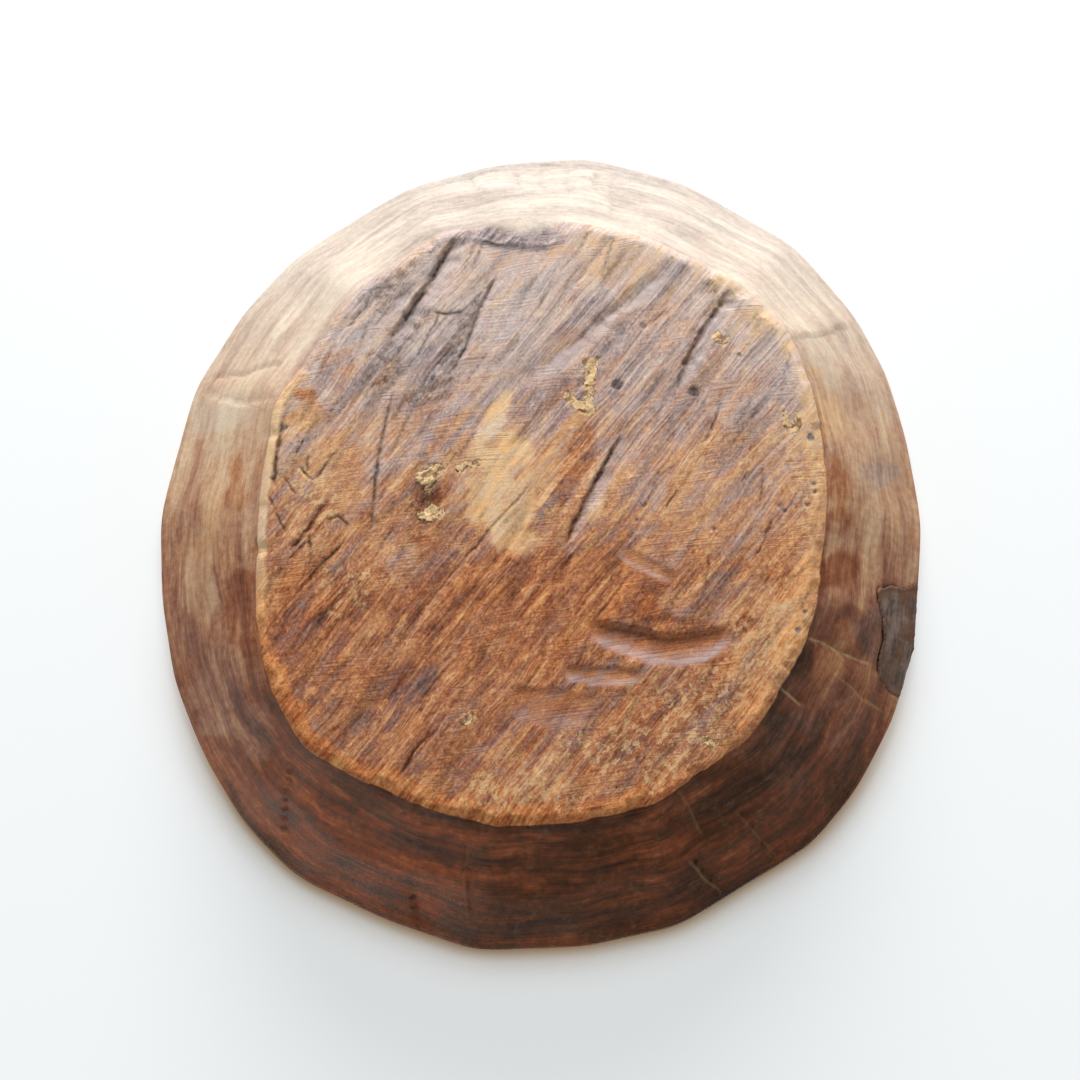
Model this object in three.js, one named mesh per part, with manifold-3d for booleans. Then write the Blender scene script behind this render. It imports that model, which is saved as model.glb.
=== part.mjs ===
// A round wooden bowl hewn from one block with adze and chisel, standing on its foot.
// Millimetres, +Z up out of the mouth, origin at the middle of the foot's rest plane.

import * as THREE from "three";
import { mergeVertices } from "three/addons/utils/BufferGeometryUtils.js";
import Module from "manifold-3d";

// Outside: lip oval, foot oval and the wall between them
const RIM_WIDTH = 320;
const RIM_LENGTH = 338;
const HEIGHT = 80;
const FOOT_WIDTH = 219;
const FOOT_LENGTH = 238;
const FOOT_SHIFT_X = 0.8;
const FOOT_SHIFT_Y = 3.2;
const WALL_BELLY = 3;
const FOOT_ARRIS = 1.6;
const LIP_ROUND = 5;

// Inside: the hollow leaves this much wood at the lip and under the floor
const LIP_WIDTH = 14;
const LIP_EASE = 3;
const FLOOR_THICKNESS = 18;
const HOLLOW_SWEEP = 62;
const HOLLOW_CURVE_RISE = 48;

// The lip has warped into a saddle as the block dried: its drop and the direction of the low sides
const LIP_WARP = 3;
const WARP_TURN = 65;

// Ridges between the adze facets of the wall: turn in degrees from +X towards +Y, then how far
// the ridge stands out from the lip oval and from the foot oval
const RIDGES = [
  [-3, 0.5, -0.2],
  [16, 1.2, -0.2],
  [27, 2.0, 0.2],
  [38, 2.9, -0.4],
  [48, 3.2, 1.0],
  [70, 0.8, 0.4],
  [84, -0.4, -1.6],
  [99, 2.4, 1.4],
  [113, 1.4, 2.6],
  [126, 5.8, 7.8],
  [136, 5.2, 13.6],
  [147, 3.4, 11.8],
  [159, 2.0, 7.2],
  [171, 0.5, 1.8],
  [184, 0.8, 0.2],
  [204, -0.2, 3.2],
  [218, -2.0, -1.0],
  [230, -2.4, 2.2],
  [250, -2.6, 4.0],
  [264, -2.0, 1.4],
  [277, 1.0, 1.0],
  [291, 1.6, 2.2],
  [310, 4.2, 6.8],
  [324, 3.6, 9.4],
  [334, 2.6, 5.4],
  [345, 0.2, 3.0],
];

// The curved edge of the adze leaves each facet a little hollow, by turns low and high on the wall:
// the middle's height as a share of the wall, and the width as a share of the facet's
const SCOOP_RISES = [0.34, 0.64];
const SCOOP_SPREAD = 0.88;
const SCOOP_LENGTH = 58;
const SCOOP_DEPTH = 1;

// Gouge cuts in the foot: place as shares of the foot's half width and half length, then length,
// width, depth and turn in degrees
const GOUGES = [
  { at: [0.425, 0.42], length: 52, width: 16, depth: 2.6, turn: 2 },
  { at: [0.22, 0.53], length: 31, width: 8, depth: 1.6, turn: 4 },
  { at: [0.38, 0.16], length: 27, width: 9, depth: 1.4, turn: 19 },
  { at: [0.06, 0.64], length: 52, width: 20, depth: 1.5, turn: -8 },
  { at: [0.19, -0.65], length: 84, width: 9, depth: 1.4, turn: -39 },
  { at: [0.18, -0.1], length: 58, width: 7, depth: 2.2, turn: -64 },
  { at: [0.58, -0.61], length: 52, width: 5, depth: 1.8, turn: -63 },
  { at: [-0.44, -0.78], length: 56, width: 5, depth: 1.8, turn: -58 },
  { at: [-0.08, -1.0], length: 38, width: 18, depth: 3, turn: 3 },
];

// Filler pressed into the pits of the foot: place as shares of the foot's half width and half
// length, then the outline round that place
const FIT_GAP = 0.3;
const FILLER_THICKNESS = 2;
const FILLER_SINK = 0.3;
const FILLERS = [
  {
    name: "filler_forked",
    at: [0.15, -0.434],
    outline: [
      [1.2, -12.4], [4.4, -12.2], [4.8, -9.6], [3.8, -6.4], [4.4, -3.2], [3, 0], [3.4, 4.2],
      [3, 10.2], [1.2, 10.6], [-2, 9], [-5, 6.6], [-8.2, 3.4], [-7.4, 1.6], [-4.6, 3],
      [-2.8, 5.4], [-0.6, 6.4], [0, 3.4], [-0.4, 0], [0.8, -3.2], [0.2, -7.2], [-0.2, -10.4],
    ],
  },
  {
    name: "filler_ragged",
    at: [-0.403, -0.137],
    outline: [
      [-5.8, 0.8], [-5, -1.6], [-2.2, -2.2], [0, -3.6], [2, -5.2], [4.4, -4.8], [5.8, -3.6],
      [5, -0.8], [3.2, 1.4], [0.8, 3.2], [-0.2, 5.2], [-1.8, 4.8], [-2, 3], [-4.2, 2.8],
    ],
  },
  {
    name: "filler_slab",
    at: [-0.397, -0.012],
    outline: [
      [-5.2, -0.2], [-2.8, -0.6], [-1.2, -2.6], [1.8, -3.4], [4.6, -2.2],
      [5, 0.6], [3.4, 2.2], [0.4, 3], [-1.6, 1.6], [-4, 1.8],
    ],
  },
  {
    name: "filler_sliver",
    at: [-0.275, -0.172],
    outline: [
      [-3.8, 0.2], [-1.6, -1], [1.6, -1.8], [4.8, -1.4], [3.2, 0.2], [0.4, 0.6], [-1.2, 1.8], [-3.4, 1.4],
    ],
  },
  {
    name: "filler_bent",
    at: [0.636, -0.606],
    outline: [
      [-3, -1.8], [-1.2, -2.6], [-0.4, -0.4], [1.2, 0.8], [3.2, 0],
      [3.6, 1.2], [0.8, 2.4], [-1.6, 1.4], [-2.8, 0],
    ],
  },
  {
    name: "filler_crescent",
    at: [0.892, -0.323],
    outline: [
      [-4.2, -3.4], [-2.6, -3.8], [-1.8, -1.4], [-0.8, 1.2], [0.4, 1.6], [1, -1], [0.8, -3.8],
      [2.6, -3.8], [4, -1.4], [3.6, 1.8], [2, 4.2], [0, 5.4], [-2, 3.8], [-3.6, 1],
    ],
  },
  {
    name: "filler_wedge",
    at: [0.576, 0.734],
    outline: [[-2, -2.2], [0, -3], [1, -0.6], [2.2, 1.6], [1.4, 3.2], [-0.6, 1.8], [-2, -0.2]],
  },
  {
    name: "filler_plug",
    at: [-0.267, 0.663],
    outline: [[-3, 0.8], [-1.4, -0.2], [0.2, -1.4], [1.2, -2.2], [2.4, -1.4], [2, 0.6], [0.6, 2], [-2.2, 2]],
  },
];

// Tools that cut through a surface reach past it by this much
const CUT_MARGIN = 5;

// Strip of bark side left on the lip towards +X: its outline by distance along Y and down from the
// lip, and how far in from the lip it is looked for
const BARK_THICKNESS = 2;
const BARK_OUTLINE = [
  [19, -CUT_MARGIN], [20, 10], [22.5, 19], [23, 29], [26, 40], [30, 38.5], [34, 34.5], [39, 33],
  [44, 30], [50, 29.5], [56, 28], [59.5, 22.5], [62, 16], [64, 10], [67.5, -CUT_MARGIN],
];
const BARK_REACH = 55;

const HOLLOW_SIDES = 72;
const HOLLOW_STEPS = 12;
const ROUND_STEPS = 3;
const GOUGE_SIDES = 20;
const GOUGE_RINGS = 14;
const SCOOP_SIDES = 16;
const SCOOP_RINGS = 12;
const SLOPE_STEP = 2;
// An ellipsoid that sinks half its height has a section at the surface that is this share of its widest
const SUNK_SECTION = Math.sqrt(0.75);

const wasm = await Module();
wasm.setup();

function solid(geometry) {
  const bare = geometry.clone();
  bare.deleteAttribute("normal");
  bare.deleteAttribute("uv");
  const merged = mergeVertices(bare);
  const vertProperties = new Float32Array(merged.attributes.position.array);
  const triVerts = new Uint32Array(merged.index.array);
  return new wasm.Manifold(new wasm.Mesh({ numProp: 3, vertProperties, triVerts }));
}

function part(name, body, material) {
  const mesh = body.getMesh();
  const geometry = new THREE.BufferGeometry();
  geometry.setAttribute("position", new THREE.BufferAttribute(warped(mesh.vertProperties), 3));
  geometry.setIndex(new THREE.BufferAttribute(mesh.triVerts, 1));
  geometry.computeVertexNormals();
  const named = new THREE.Mesh(geometry, material);
  named.name = name;
  return named;
}

// Lowers the two low sides of the lip, and nothing below the floor of the hollow
function warped(vertices) {
  const moved = new Float32Array(vertices);
  for (let i = 0; i < moved.length; i += 3) {
    const [x, y, z] = [moved[i], moved[i + 1], moved[i + 2]];
    const rise = THREE.MathUtils.clamp((z - FLOOR_THICKNESS) / (HEIGHT - FLOOR_THICKNESS), 0, 1);
    const turn = Math.atan2(y, x) - THREE.MathUtils.degToRad(WARP_TURN);
    moved[i + 2] = z - LIP_WARP * rise * rise * (0.5 + 0.5 * Math.cos(2 * turn));
  }
  return moved;
}

function ovalRadius(halfWidth, halfLength, turn) {
  return 1 / Math.hypot(Math.cos(turn) / halfWidth, Math.sin(turn) / halfLength);
}

// Joins rings of equal count, lowest first, into one closed body with a flat fan at each end
function loft(rings) {
  const count = rings[0].length;
  const points = rings.flat();
  const index = [];
  for (let r = 0; r + 1 < rings.length; r += 1) {
    for (let i = 0; i < count; i += 1) {
      const a = r * count + i;
      const b = r * count + ((i + 1) % count);
      index.push(a, b, b + count, a, b + count, a + count);
    }
  }
  const middle = (ring) => ring.reduce((sum, p) => sum.add(p), new THREE.Vector3()).divideScalar(count);
  const low = points.push(middle(rings[0])) - 1;
  const high = points.push(middle(rings.at(-1))) - 1;
  const top = (rings.length - 1) * count;
  for (let i = 0; i < count; i += 1) {
    const next = (i + 1) % count;
    index.push(low, next, i, high, top + i, top + next);
  }
  const geometry = new THREE.BufferGeometry().setFromPoints(points);
  geometry.setIndex(index);
  return geometry;
}

// A quarter round from upright to level: height and side step of each of its points
function quarterRound(radius) {
  return Array.from({ length: ROUND_STEPS + 1 }, (_, i) => {
    const bend = (i / ROUND_STEPS) * (Math.PI / 2);
    return [radius * Math.sin(bend), radius * (1 - Math.cos(bend))];
  });
}

// How far up the slope of the wall a height lies, from 0 at the foot to 1 where the lip starts to round
function wallRise(z) {
  return Math.min(z / (HEIGHT - LIP_ROUND), 1);
}

// How far the wall bellies out at a height
function belly(z) {
  const middle = (HEIGHT - LIP_ROUND) / 2;
  return WALL_BELLY * (1 - Math.abs(z - middle) / (middle - FOOT_ARRIS));
}

// Where a ridge lies at a height, standing out by so much more
function ridgePoint([degrees, rimOut, footOut], z, proud) {
  const rise = wallRise(z);
  const turn = THREE.MathUtils.degToRad(degrees);
  const rim = ovalRadius(RIM_WIDTH / 2, RIM_LENGTH / 2, turn) + rimOut;
  const foot = ovalRadius(FOOT_WIDTH / 2, FOOT_LENGTH / 2, turn) + footOut;
  const radius = THREE.MathUtils.lerp(foot, rim, rise) + proud;
  const x = FOOT_SHIFT_X * (1 - rise) + radius * Math.cos(turn);
  const y = FOOT_SHIFT_Y * (1 - rise) + radius * Math.sin(turn);
  return new THREE.Vector3(x, y, z);
}

// The hewn outside, with every facet taken in by the inset
function blank(inset) {
  const shoulder = HEIGHT - LIP_ROUND;
  const stations = [
    [0, -FOOT_ARRIS],
    [FOOT_ARRIS, 0],
    [shoulder / 2, WALL_BELLY],
    ...quarterRound(LIP_ROUND).map(([up, aside]) => [shoulder + up, -aside]),
  ];
  const rings = stations.map(([z, proud]) => RIDGES.map((ridge) => ridgePoint(ridge, z, proud - inset)));
  return solid(loft(rings));
}

// The adze's shallow cut in the facet between two ridges
function scoop(before, after, rise) {
  const onRidge = (ridge, z) => ridgePoint(ridge, z, belly(z));
  const onFacet = (z) => onRidge(before, z).lerp(onRidge(after, z), 0.5);
  const height = rise * (HEIGHT - LIP_ROUND);
  const across = onRidge(after, height).sub(onRidge(before, height));
  const halfWidth = (across.length() * SCOOP_SPREAD) / 2;
  across.normalize();
  const along = onFacet(height + SLOPE_STEP).sub(onFacet(height - SLOPE_STEP)).normalize();
  const out = across.clone().cross(along).normalize();
  const upright = out.clone().cross(across);
  const geometry = new THREE.SphereGeometry(1, SCOOP_SIDES, SCOOP_RINGS);
  geometry.scale(halfWidth / SUNK_SECTION, SCOOP_LENGTH / 2 / SUNK_SECTION, SCOOP_DEPTH * 2);
  const place = onFacet(height).addScaledVector(out, SCOOP_DEPTH);
  geometry.applyMatrix4(new THREE.Matrix4().makeBasis(across, upright, out).setPosition(place));
  return solid(geometry);
}

// Half the hollow's width at a height, inside a wall that runs from foot to lip
function hollowReach(foot, rim, z) {
  return THREE.MathUtils.lerp(foot / 2, rim / 2, wallRise(z)) - LIP_WIDTH;
}

// The long curve from the flat floor up into the wall
function hollowCurve(foot, rim) {
  const curveTop = FLOOR_THICKNESS + HOLLOW_CURVE_RISE;
  const corner = new THREE.Vector2(hollowReach(foot, rim, FLOOR_THICKNESS), FLOOR_THICKNESS);
  const start = new THREE.Vector2(corner.x - HOLLOW_SWEEP, FLOOR_THICKNESS);
  const end = new THREE.Vector2(hollowReach(foot, rim, curveTop), curveTop);
  return new THREE.QuadraticBezierCurve(start, corner, end);
}

// The scooped inside: a flat floor, a long curve, a straight wall and an eased edge at the lip
function hollow() {
  const across = hollowCurve(FOOT_WIDTH, RIM_WIDTH).getPoints(HOLLOW_STEPS);
  const along = hollowCurve(FOOT_LENGTH, RIM_LENGTH).getPoints(HOLLOW_STEPS);
  const stations = across.map((p, i) => [p.y, p.x, along[i].x]);
  for (const [up, aside] of quarterRound(LIP_EASE)) {
    const z = HEIGHT - LIP_EASE + up;
    const width = hollowReach(FOOT_WIDTH, RIM_WIDTH, z) + aside;
    const length = hollowReach(FOOT_LENGTH, RIM_LENGTH, z) + aside;
    stations.push([z, width, length]);
  }
  const [, mouthWidth, mouthLength] = stations.at(-1);
  stations.push([HEIGHT + CUT_MARGIN, mouthWidth, mouthLength]);
  const rings = stations.map(([z, halfWidth, halfLength]) =>
    Array.from({ length: HOLLOW_SIDES }, (_, i) => {
      const turn = (i / HOLLOW_SIDES) * 2 * Math.PI;
      const radius = ovalRadius(halfWidth, halfLength, turn);
      return new THREE.Vector3(radius * Math.cos(turn), radius * Math.sin(turn), z);
    }),
  );
  return solid(loft(rings));
}

function placeOnFoot([shareX, shareY]) {
  const x = FOOT_SHIFT_X + (shareX * FOOT_WIDTH) / 2;
  const y = FOOT_SHIFT_Y + (shareY * FOOT_LENGTH) / 2;
  return new THREE.Vector3(x, y, 0);
}

function gouge({ at, length, width, depth, turn }) {
  const geometry = new THREE.SphereGeometry(1, GOUGE_SIDES, GOUGE_RINGS);
  geometry.scale(length / 2 / SUNK_SECTION, width / 2 / SUNK_SECTION, depth * 2);
  geometry.rotateZ(THREE.MathUtils.degToRad(turn));
  const place = placeOnFoot(at);
  geometry.translate(place.x, place.y, -depth);
  return solid(geometry);
}

// Moves each side of a closed outline outwards by the gap
function grown(outline, gap) {
  const points = outline.map(([x, y]) => new THREE.Vector2(x, y));
  const side = THREE.ShapeUtils.isClockWise(points) ? -1 : 1;
  return points.map((p, i) => {
    const before = p.clone().sub(points.at(i - 1)).normalize();
    const after = points[(i + 1) % points.length].clone().sub(p).normalize();
    const normalBefore = new THREE.Vector2(before.y, -before.x).multiplyScalar(side);
    const normalAfter = new THREE.Vector2(after.y, -after.x).multiplyScalar(side);
    const mitre = normalBefore.clone().add(normalAfter);
    return p.clone().add(mitre.multiplyScalar(gap / (1 + normalBefore.dot(normalAfter))));
  });
}

function slab(points, from, to) {
  const settings = { depth: to - from, bevelEnabled: false };
  const geometry = new THREE.ExtrudeGeometry(new THREE.Shape(points), settings);
  geometry.translate(0, 0, from);
  return geometry;
}

function filler({ at, outline }, gap, from, to) {
  const place = placeOnFoot(at);
  return solid(slab(grown(outline, gap), from, to).translate(place.x, place.y, 0));
}

// Everything within the bark's outline, seen along X, that lies outside the inset blank
function barkSkin(gap, thickness) {
  const across = grown(BARK_OUTLINE, gap).map((p) => new THREE.Vector2(p.x, HEIGHT - p.y));
  const geometry = slab(across, 0, BARK_REACH);
  geometry.rotateX(Math.PI / 2).rotateZ(Math.PI / 2);
  geometry.translate(RIM_WIDTH / 2 - BARK_REACH + CUT_MARGIN, 0, 0);
  return solid(geometry).subtract(blank(thickness));
}

function buildBowl() {
  const wood = new THREE.MeshStandardMaterial({ color: 0x8a5a36, roughness: 0.55, metalness: 0 });
  const bark = new THREE.MeshStandardMaterial({ color: 0x4d4039, roughness: 0.9, metalness: 0 });
  const putty = new THREE.MeshStandardMaterial({ color: 0xd6b87f, roughness: 0.85, metalness: 0 });

  const outside = blank(0);
  let body = outside.subtract(hollow());
  RIDGES.forEach((ridge, i) => {
    const next = RIDGES[i + 1] ?? RIDGES[0];
    body = body.subtract(scoop(ridge, next, SCOOP_RISES[i % SCOOP_RISES.length]));
  });
  for (const cut of GOUGES) {
    body = body.subtract(gouge(cut));
  }
  const fillerTop = FILLER_SINK + FILLER_THICKNESS;
  for (const pit of FILLERS) {
    body = body.subtract(filler(pit, FIT_GAP, -CUT_MARGIN, fillerTop + FIT_GAP));
  }
  body = body.subtract(barkSkin(FIT_GAP, BARK_THICKNESS + FIT_GAP));

  const bowl = new THREE.Group();
  bowl.add(part("bowl_body", body, wood));
  bowl.add(part("bark_remnant", outside.intersect(barkSkin(0, BARK_THICKNESS)), bark));
  for (const pit of FILLERS) {
    bowl.add(part(pit.name, filler(pit, 0, FILLER_SINK, fillerTop), putty.clone()));
  }

  // The middle of the lip's box goes over the origin
  const box = new THREE.Box3().setFromObject(bowl);
  const middle = box.getCenter(new THREE.Vector3());
  bowl.position.set(-middle.x, -middle.y, 0);
  return bowl;
}

export default buildBowl();
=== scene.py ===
# Looks of a hand-hewn wooden bowl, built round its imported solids.
# Blender works in metres; the carving below works in millimetres in the same frame, with +Z up out of
# the mouth. The bowl lies upside down in the photograph, so the camera looks up at the foot from below.

import math

import bmesh
import bpy
import numpy as np
from mathutils import Matrix, Vector
from mathutils.bvhtree import BVHTree
from mathutils.geometry import delaunay_2d_cdt


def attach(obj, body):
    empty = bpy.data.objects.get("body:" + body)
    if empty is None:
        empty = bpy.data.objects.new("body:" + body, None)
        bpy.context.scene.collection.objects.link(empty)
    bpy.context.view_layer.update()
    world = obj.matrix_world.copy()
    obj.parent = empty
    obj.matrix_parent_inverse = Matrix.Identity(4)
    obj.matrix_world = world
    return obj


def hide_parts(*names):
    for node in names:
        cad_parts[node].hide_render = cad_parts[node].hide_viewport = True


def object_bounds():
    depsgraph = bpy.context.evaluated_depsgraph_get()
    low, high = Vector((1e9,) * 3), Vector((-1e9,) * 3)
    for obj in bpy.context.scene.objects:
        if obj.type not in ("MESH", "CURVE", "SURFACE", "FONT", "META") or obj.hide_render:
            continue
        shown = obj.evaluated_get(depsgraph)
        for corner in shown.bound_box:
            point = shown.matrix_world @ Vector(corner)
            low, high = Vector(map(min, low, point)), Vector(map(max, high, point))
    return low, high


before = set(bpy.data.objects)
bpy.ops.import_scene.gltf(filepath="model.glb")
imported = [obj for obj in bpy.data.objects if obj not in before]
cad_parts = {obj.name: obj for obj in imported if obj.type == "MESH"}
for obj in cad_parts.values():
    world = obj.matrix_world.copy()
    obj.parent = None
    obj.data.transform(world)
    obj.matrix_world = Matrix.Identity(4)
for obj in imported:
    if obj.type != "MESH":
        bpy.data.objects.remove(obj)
cad_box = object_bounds()
FILLERS = sorted(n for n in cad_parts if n.startswith("filler"))

MM = 0.001
UP = np.array([0.0, 0.0, 1.0])

# Camera: place in millimetres, and how far it leans back from looking straight up
PHOTO_SIZE = 1080
SENSOR = 36.0
LENS = 79.0
CAMERA_PLACE = np.array([-0.4, 176.3, -904.0])
CAMERA_LEAN = math.radians(10.3)
CAMERA_RIGHT = np.array([1.0, 0.0, 0.0])
CAMERA_DOWN = np.array([0.0, math.cos(CAMERA_LEAN), math.sin(CAMERA_LEAN)])
CAMERA_AHEAD = np.array([0.0, -math.sin(CAMERA_LEAN), math.cos(CAMERA_LEAN)])
FOCAL_PIXELS = LENS / SENSOR * PHOTO_SIZE

# Mesh of the bowl, in millimetres where it isn't a count
COLUMNS = 600
EDGE_HEIGHTS = [0.05, 0.6, 1.2, 1.8, 2.6]
EDGE_ROWS = len(EDGE_HEIGHTS)
PAINTED_EDGE_ROWS = 4
EDGE_FADE_ROWS = 8
CHIPS_ROUND = 90
CHIP_DEPTH = 1.5
LUMPS_ROUND = 40
LUMP_ROWS = 9
WALL_LUMP = 0.7
LIP_LUMP = 0.9
WALL_START = EDGE_HEIGHTS[-1] + 1.2
WALL_ROWS = 46
LIP_ROWS = 12
LIP_DROP = 6.0
LIP_FADE_ROWS = 6
INSIDE_ROWS = 32
FLOOR_RADIUS = 52.0
FLOOR_SPACING = 2.4
FOOT_SPACING = 1.05
CUT_SPACING = 0.55
PIT_SPACING = 0.5
HOLE_CORNERS = 12
LEAST_SPACING = 0.4
LEAST_RECESS = 1.0
LEAST_FOOT_DEPTH = 0.02
LEAST_FILLER_DEPTH = 0.03
RIDGE_BLUR = 3.5
BLUR_COLUMNS = 10
RAY_START = 260.0

# Noise: cells before it repeats, and a seed for each use
LATTICE = 256
SEEDS = {
    "lumps": 3, "grid": 5, "chips": 8, "edge": 67, "wobble": 71, "jitter": 73, "patchy": 77,
    "ragged": 81, "crumbs": 83, "fray": 88, "furrow": 91, "bark": 97, "filler": 200,
}

# Point values that the wood's material reads
FOOT_MARKS = ("worn", "shade_and_dust", "shine", "torn", "level")
MARKS = ("tone", "warmth", *FOOT_MARKS, "foot", "hollow")

# Tools that leave overlapping cuts: seed, gap between cuts, their length, width and range of depths in
# millimetres, and how far a stroke leans out and rises
TOOL_PICKS = 4000
ADZE = (11, 24.0, 42.0, 27.0, (0.3, 0.8), 0.3, 60.0)
GOUGE = (23, 17.0, 34.0, 17.0, (0.25, 0.5), -1.0, -1.0)
# The chisel that levelled the foot: its flutes and broad hollows as length and width, then how deep they
# are, and its stray marks, which start in a box, all in millimetres and degrees
CHISEL_SEED = 37
CHISEL_TURN = 55
FLUTE_SIZE = (34, 3.4)
FLUTE_DEPTH = 0.5
FLUTE_BEND = 6
BEND_SIZE = 60
BROAD_SIZE = (50, 22)
BROAD_DEPTH = 0.9
CHISEL_MARKS = 220
CHISEL_BOX = ([-112, -118], [112, 122])
CHISEL_SWAY = 9
CHISEL_LENGTHS = (7, 26)
CHISEL_WIDTHS = (0.35, 0.9)

# Colours as they look in even light, red, green and blue out of 255
COLOURS = {
    "cream": (236, 212, 170),
    "straw": (224, 190, 142),
    "tan": (190, 142, 96),
    "slate": (158, 138, 126),
    "sheen_and_dust_lavender": (198, 182, 179),
    "umber": (128, 88, 62),
    "bast": (140, 100, 76),
    "shade_and_dust_brown": (44, 29, 23),
}
ORANGE_TINT = (1.12, 0.90, 0.66, 1.0)
GREY_SATURATION = 0.22
# The wall's grey cream tint stands for painted glare on its top side, and the foot's pinkish grey for
# painted sheen on its upper part
WALL_GREY = (1.0, 0.985, 0.905, 1.0)
FOOT_GREY = (1.02, 0.98, 1.0, 1.0)
BARK_DARK = (0.11, 0.085, 0.07, 1.0)
WOOD_IOR = 1.15
# The wood from its darkest stain to its palest bare grain, by tone from 0 to 1; the same tones also draw
# the painted glare and painted shade
WOOD_TONES = [
    (0.00, (48, 26, 12)),
    (0.22, (92, 57, 35)),
    (0.42, (140, 81, 55)),
    (0.60, (178, 117, 81)),
    (0.80, (211, 161, 118)),
    (1.00, (233, 200, 158)),
]

# Cuts in the foot, as photograph pixels listed with the gentle slope on the right hand, then the width
# of the steep and of the gentle side and the depth in millimetres, how strong the painted sheen on the
# slope is and how dark the painted shade along the bottom is
CUTS = [
    ([(565, 550), (572, 527), (585, 501), (603, 466), (626, 425)], 1.0, 5.0, 2.2, 0.8, 1.0),
    ([(675, 394), (686, 360), (701, 332), (716, 309), (734, 283)], 1.2, 7.0, 2.6, 1.0, 0.9),
    ([(514, 389), (552, 360), (600, 322), (650, 281), (673, 263)], 3.4, 6.6, 1.8, 1.0, 0.2),
    ([(385, 344), (405, 318), (432, 276), (459, 232)], 1.8, 6.0, 3.0, 0.9, 1.0),
    ([(449, 377), (466, 345), (482, 303), (498, 272)], 1.3, 2.6, 1.6, 0.3, 0.9),
    ([(433, 312), (448, 314), (465, 311)], 0.7, 1.0, 0.9, 0.0, 0.8),
    ([(704, 445), (714, 422), (721, 402)], 0.6, 1.4, 1.0, 0.2, 0.8),
    ([(371, 540), (372, 515), (376, 471), (385, 422), (394, 387)], 0.9, 2.4, 1.4, 0.5, 0.9),
    ([(274, 492), (275, 464), (279, 440), (284, 418)], 0.9, 1.4, 2.0, 0.0, 0.9),
    ([(399, 777), (413, 753), (422, 742), (432, 732)], 0.8, 1.2, 1.8, 0.0, 0.9),
    ([(471, 676), (481, 660), (490, 643)], 0.5, 1.0, 1.0, 0.1, 0.7),
    ([(314, 481), (326, 465), (337, 450)], 0.7, 1.4, 1.2, 0.0, 0.55),
    ([(299, 466), (307, 475), (314, 481)], 0.6, 1.0, 1.0, 0.0, 0.55),
    ([(307, 472), (307, 455)], 0.5, 0.9, 0.8, 0.0, 0.8),
    ([(282, 474), (290, 486), (297, 496)], 0.6, 1.0, 0.9, 0.0, 0.55),
    ([(268, 494), (278, 517), (288, 537)], 0.6, 1.0, 1.0, 0.0, 0.55),
    ([(290, 552), (308, 528), (328, 499)], 0.9, 1.6, 1.4, 0.0, 0.9),
    ([(311, 566), (310, 548), (308, 533)], 0.5, 1.0, 0.9, 0.0, 0.8),
    ([(326, 520), (338, 516), (350, 526)], 0.5, 1.0, 0.8, 0.0, 0.55),
    ([(387, 458), (397, 440), (406, 424)], 0.5, 1.0, 0.8, 0.0, 0.7),
    ([(370, 566), (383, 543), (395, 521)], 0.5, 1.0, 0.8, 0.0, 0.7),
    ([(296, 455), (304, 438)], 0.5, 0.9, 0.7, 0.0, 0.7),
    ([(301, 538), (313, 522), (325, 507)], 0.6, 1.2, 1.0, 0.0, 0.7),
    ([(293, 598), (318, 567), (346, 540)], 0.9, 1.6, 1.4, 0.0, 0.9),
    ([(400, 640), (450, 576), (473, 550), (502, 515), (539, 476)], 0.5, 1.8, 0.7, 0.2, 0.5),
    ([(440, 668), (463, 632), (492, 596)], 0.6, 1.6, 0.6, 0.3, 0.2),
    ([(512, 447), (529, 425), (544, 400)], 0.5, 1.2, 0.8, 0.1, 0.7),
    ([(473, 432), (482, 416), (492, 400)], 1.4, 2.0, 0.8, 0.3, 0.6),
    ([(730, 447), (744, 428), (744, 402)], 0.4, 0.7, 0.7, 0.0, 0.7),
    ([(742, 482), (749, 471)], 0.4, 0.7, 0.7, 0.0, 0.7),
    ([(761, 499), (763, 464)], 0.4, 0.7, 0.7, 0.0, 0.6),
    ([(756, 557), (762, 544), (774, 517)], 0.4, 0.8, 0.8, 0.0, 0.7),
    ([(705, 596), (710, 552)], 0.4, 0.8, 0.7, 0.0, 0.6),
    ([(664, 511), (678, 488)], 0.4, 0.8, 0.7, 0.0, 0.6),
    ([(608, 586), (622, 556)], 0.4, 0.8, 0.7, 0.0, 0.6),
    ([(306, 604), (330, 583), (352, 570)], 0.5, 1.0, 0.7, 0.0, 0.7),
    ([(287, 560), (299, 548), (310, 540)], 0.5, 1.0, 0.7, 0.0, 0.7),
    ([(414, 360), (430, 333), (447, 300)], 0.5, 1.0, 0.8, 0.0, 0.6),
    ([(345, 330), (362, 312), (376, 290)], 0.5, 1.0, 0.7, 0.0, 0.6),
    ([(584, 624), (612, 627), (640, 633), (666, 639), (698, 637), (735, 626)],
     2.4, 11.5, 2.8, 0.9, 0.55),
    ([(560, 668), (604, 669), (648, 672)], 1.6, 7.0, 1.5, 0.9, 0.35),
    ([(617, 548), (648, 562), (679, 578)], 2.2, 5.0, 0.8, 0.8, 0.1),
    ([(505, 690), (555, 692), (605, 700)], 2.0, 16.0, 1.4, 0.3, 0.15),
    ([(478, 240), (520, 249), (566, 241)], 1.0, 9.0, 0.9, 0.0, 0.4),
    ([(664, 704), (676, 682), (690, 662)], 0.9, 2.6, 1.0, 0.1, 0.4),
    ([(646, 700), (656, 684), (664, 672)], 0.9, 2.2, 0.9, 0.1, 0.4),
]
# Cuts that run nearer to level than this slope are scooped and show level fibres
LEVEL_SLOPE = 0.5
CUT_TAPER = 0.16
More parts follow.
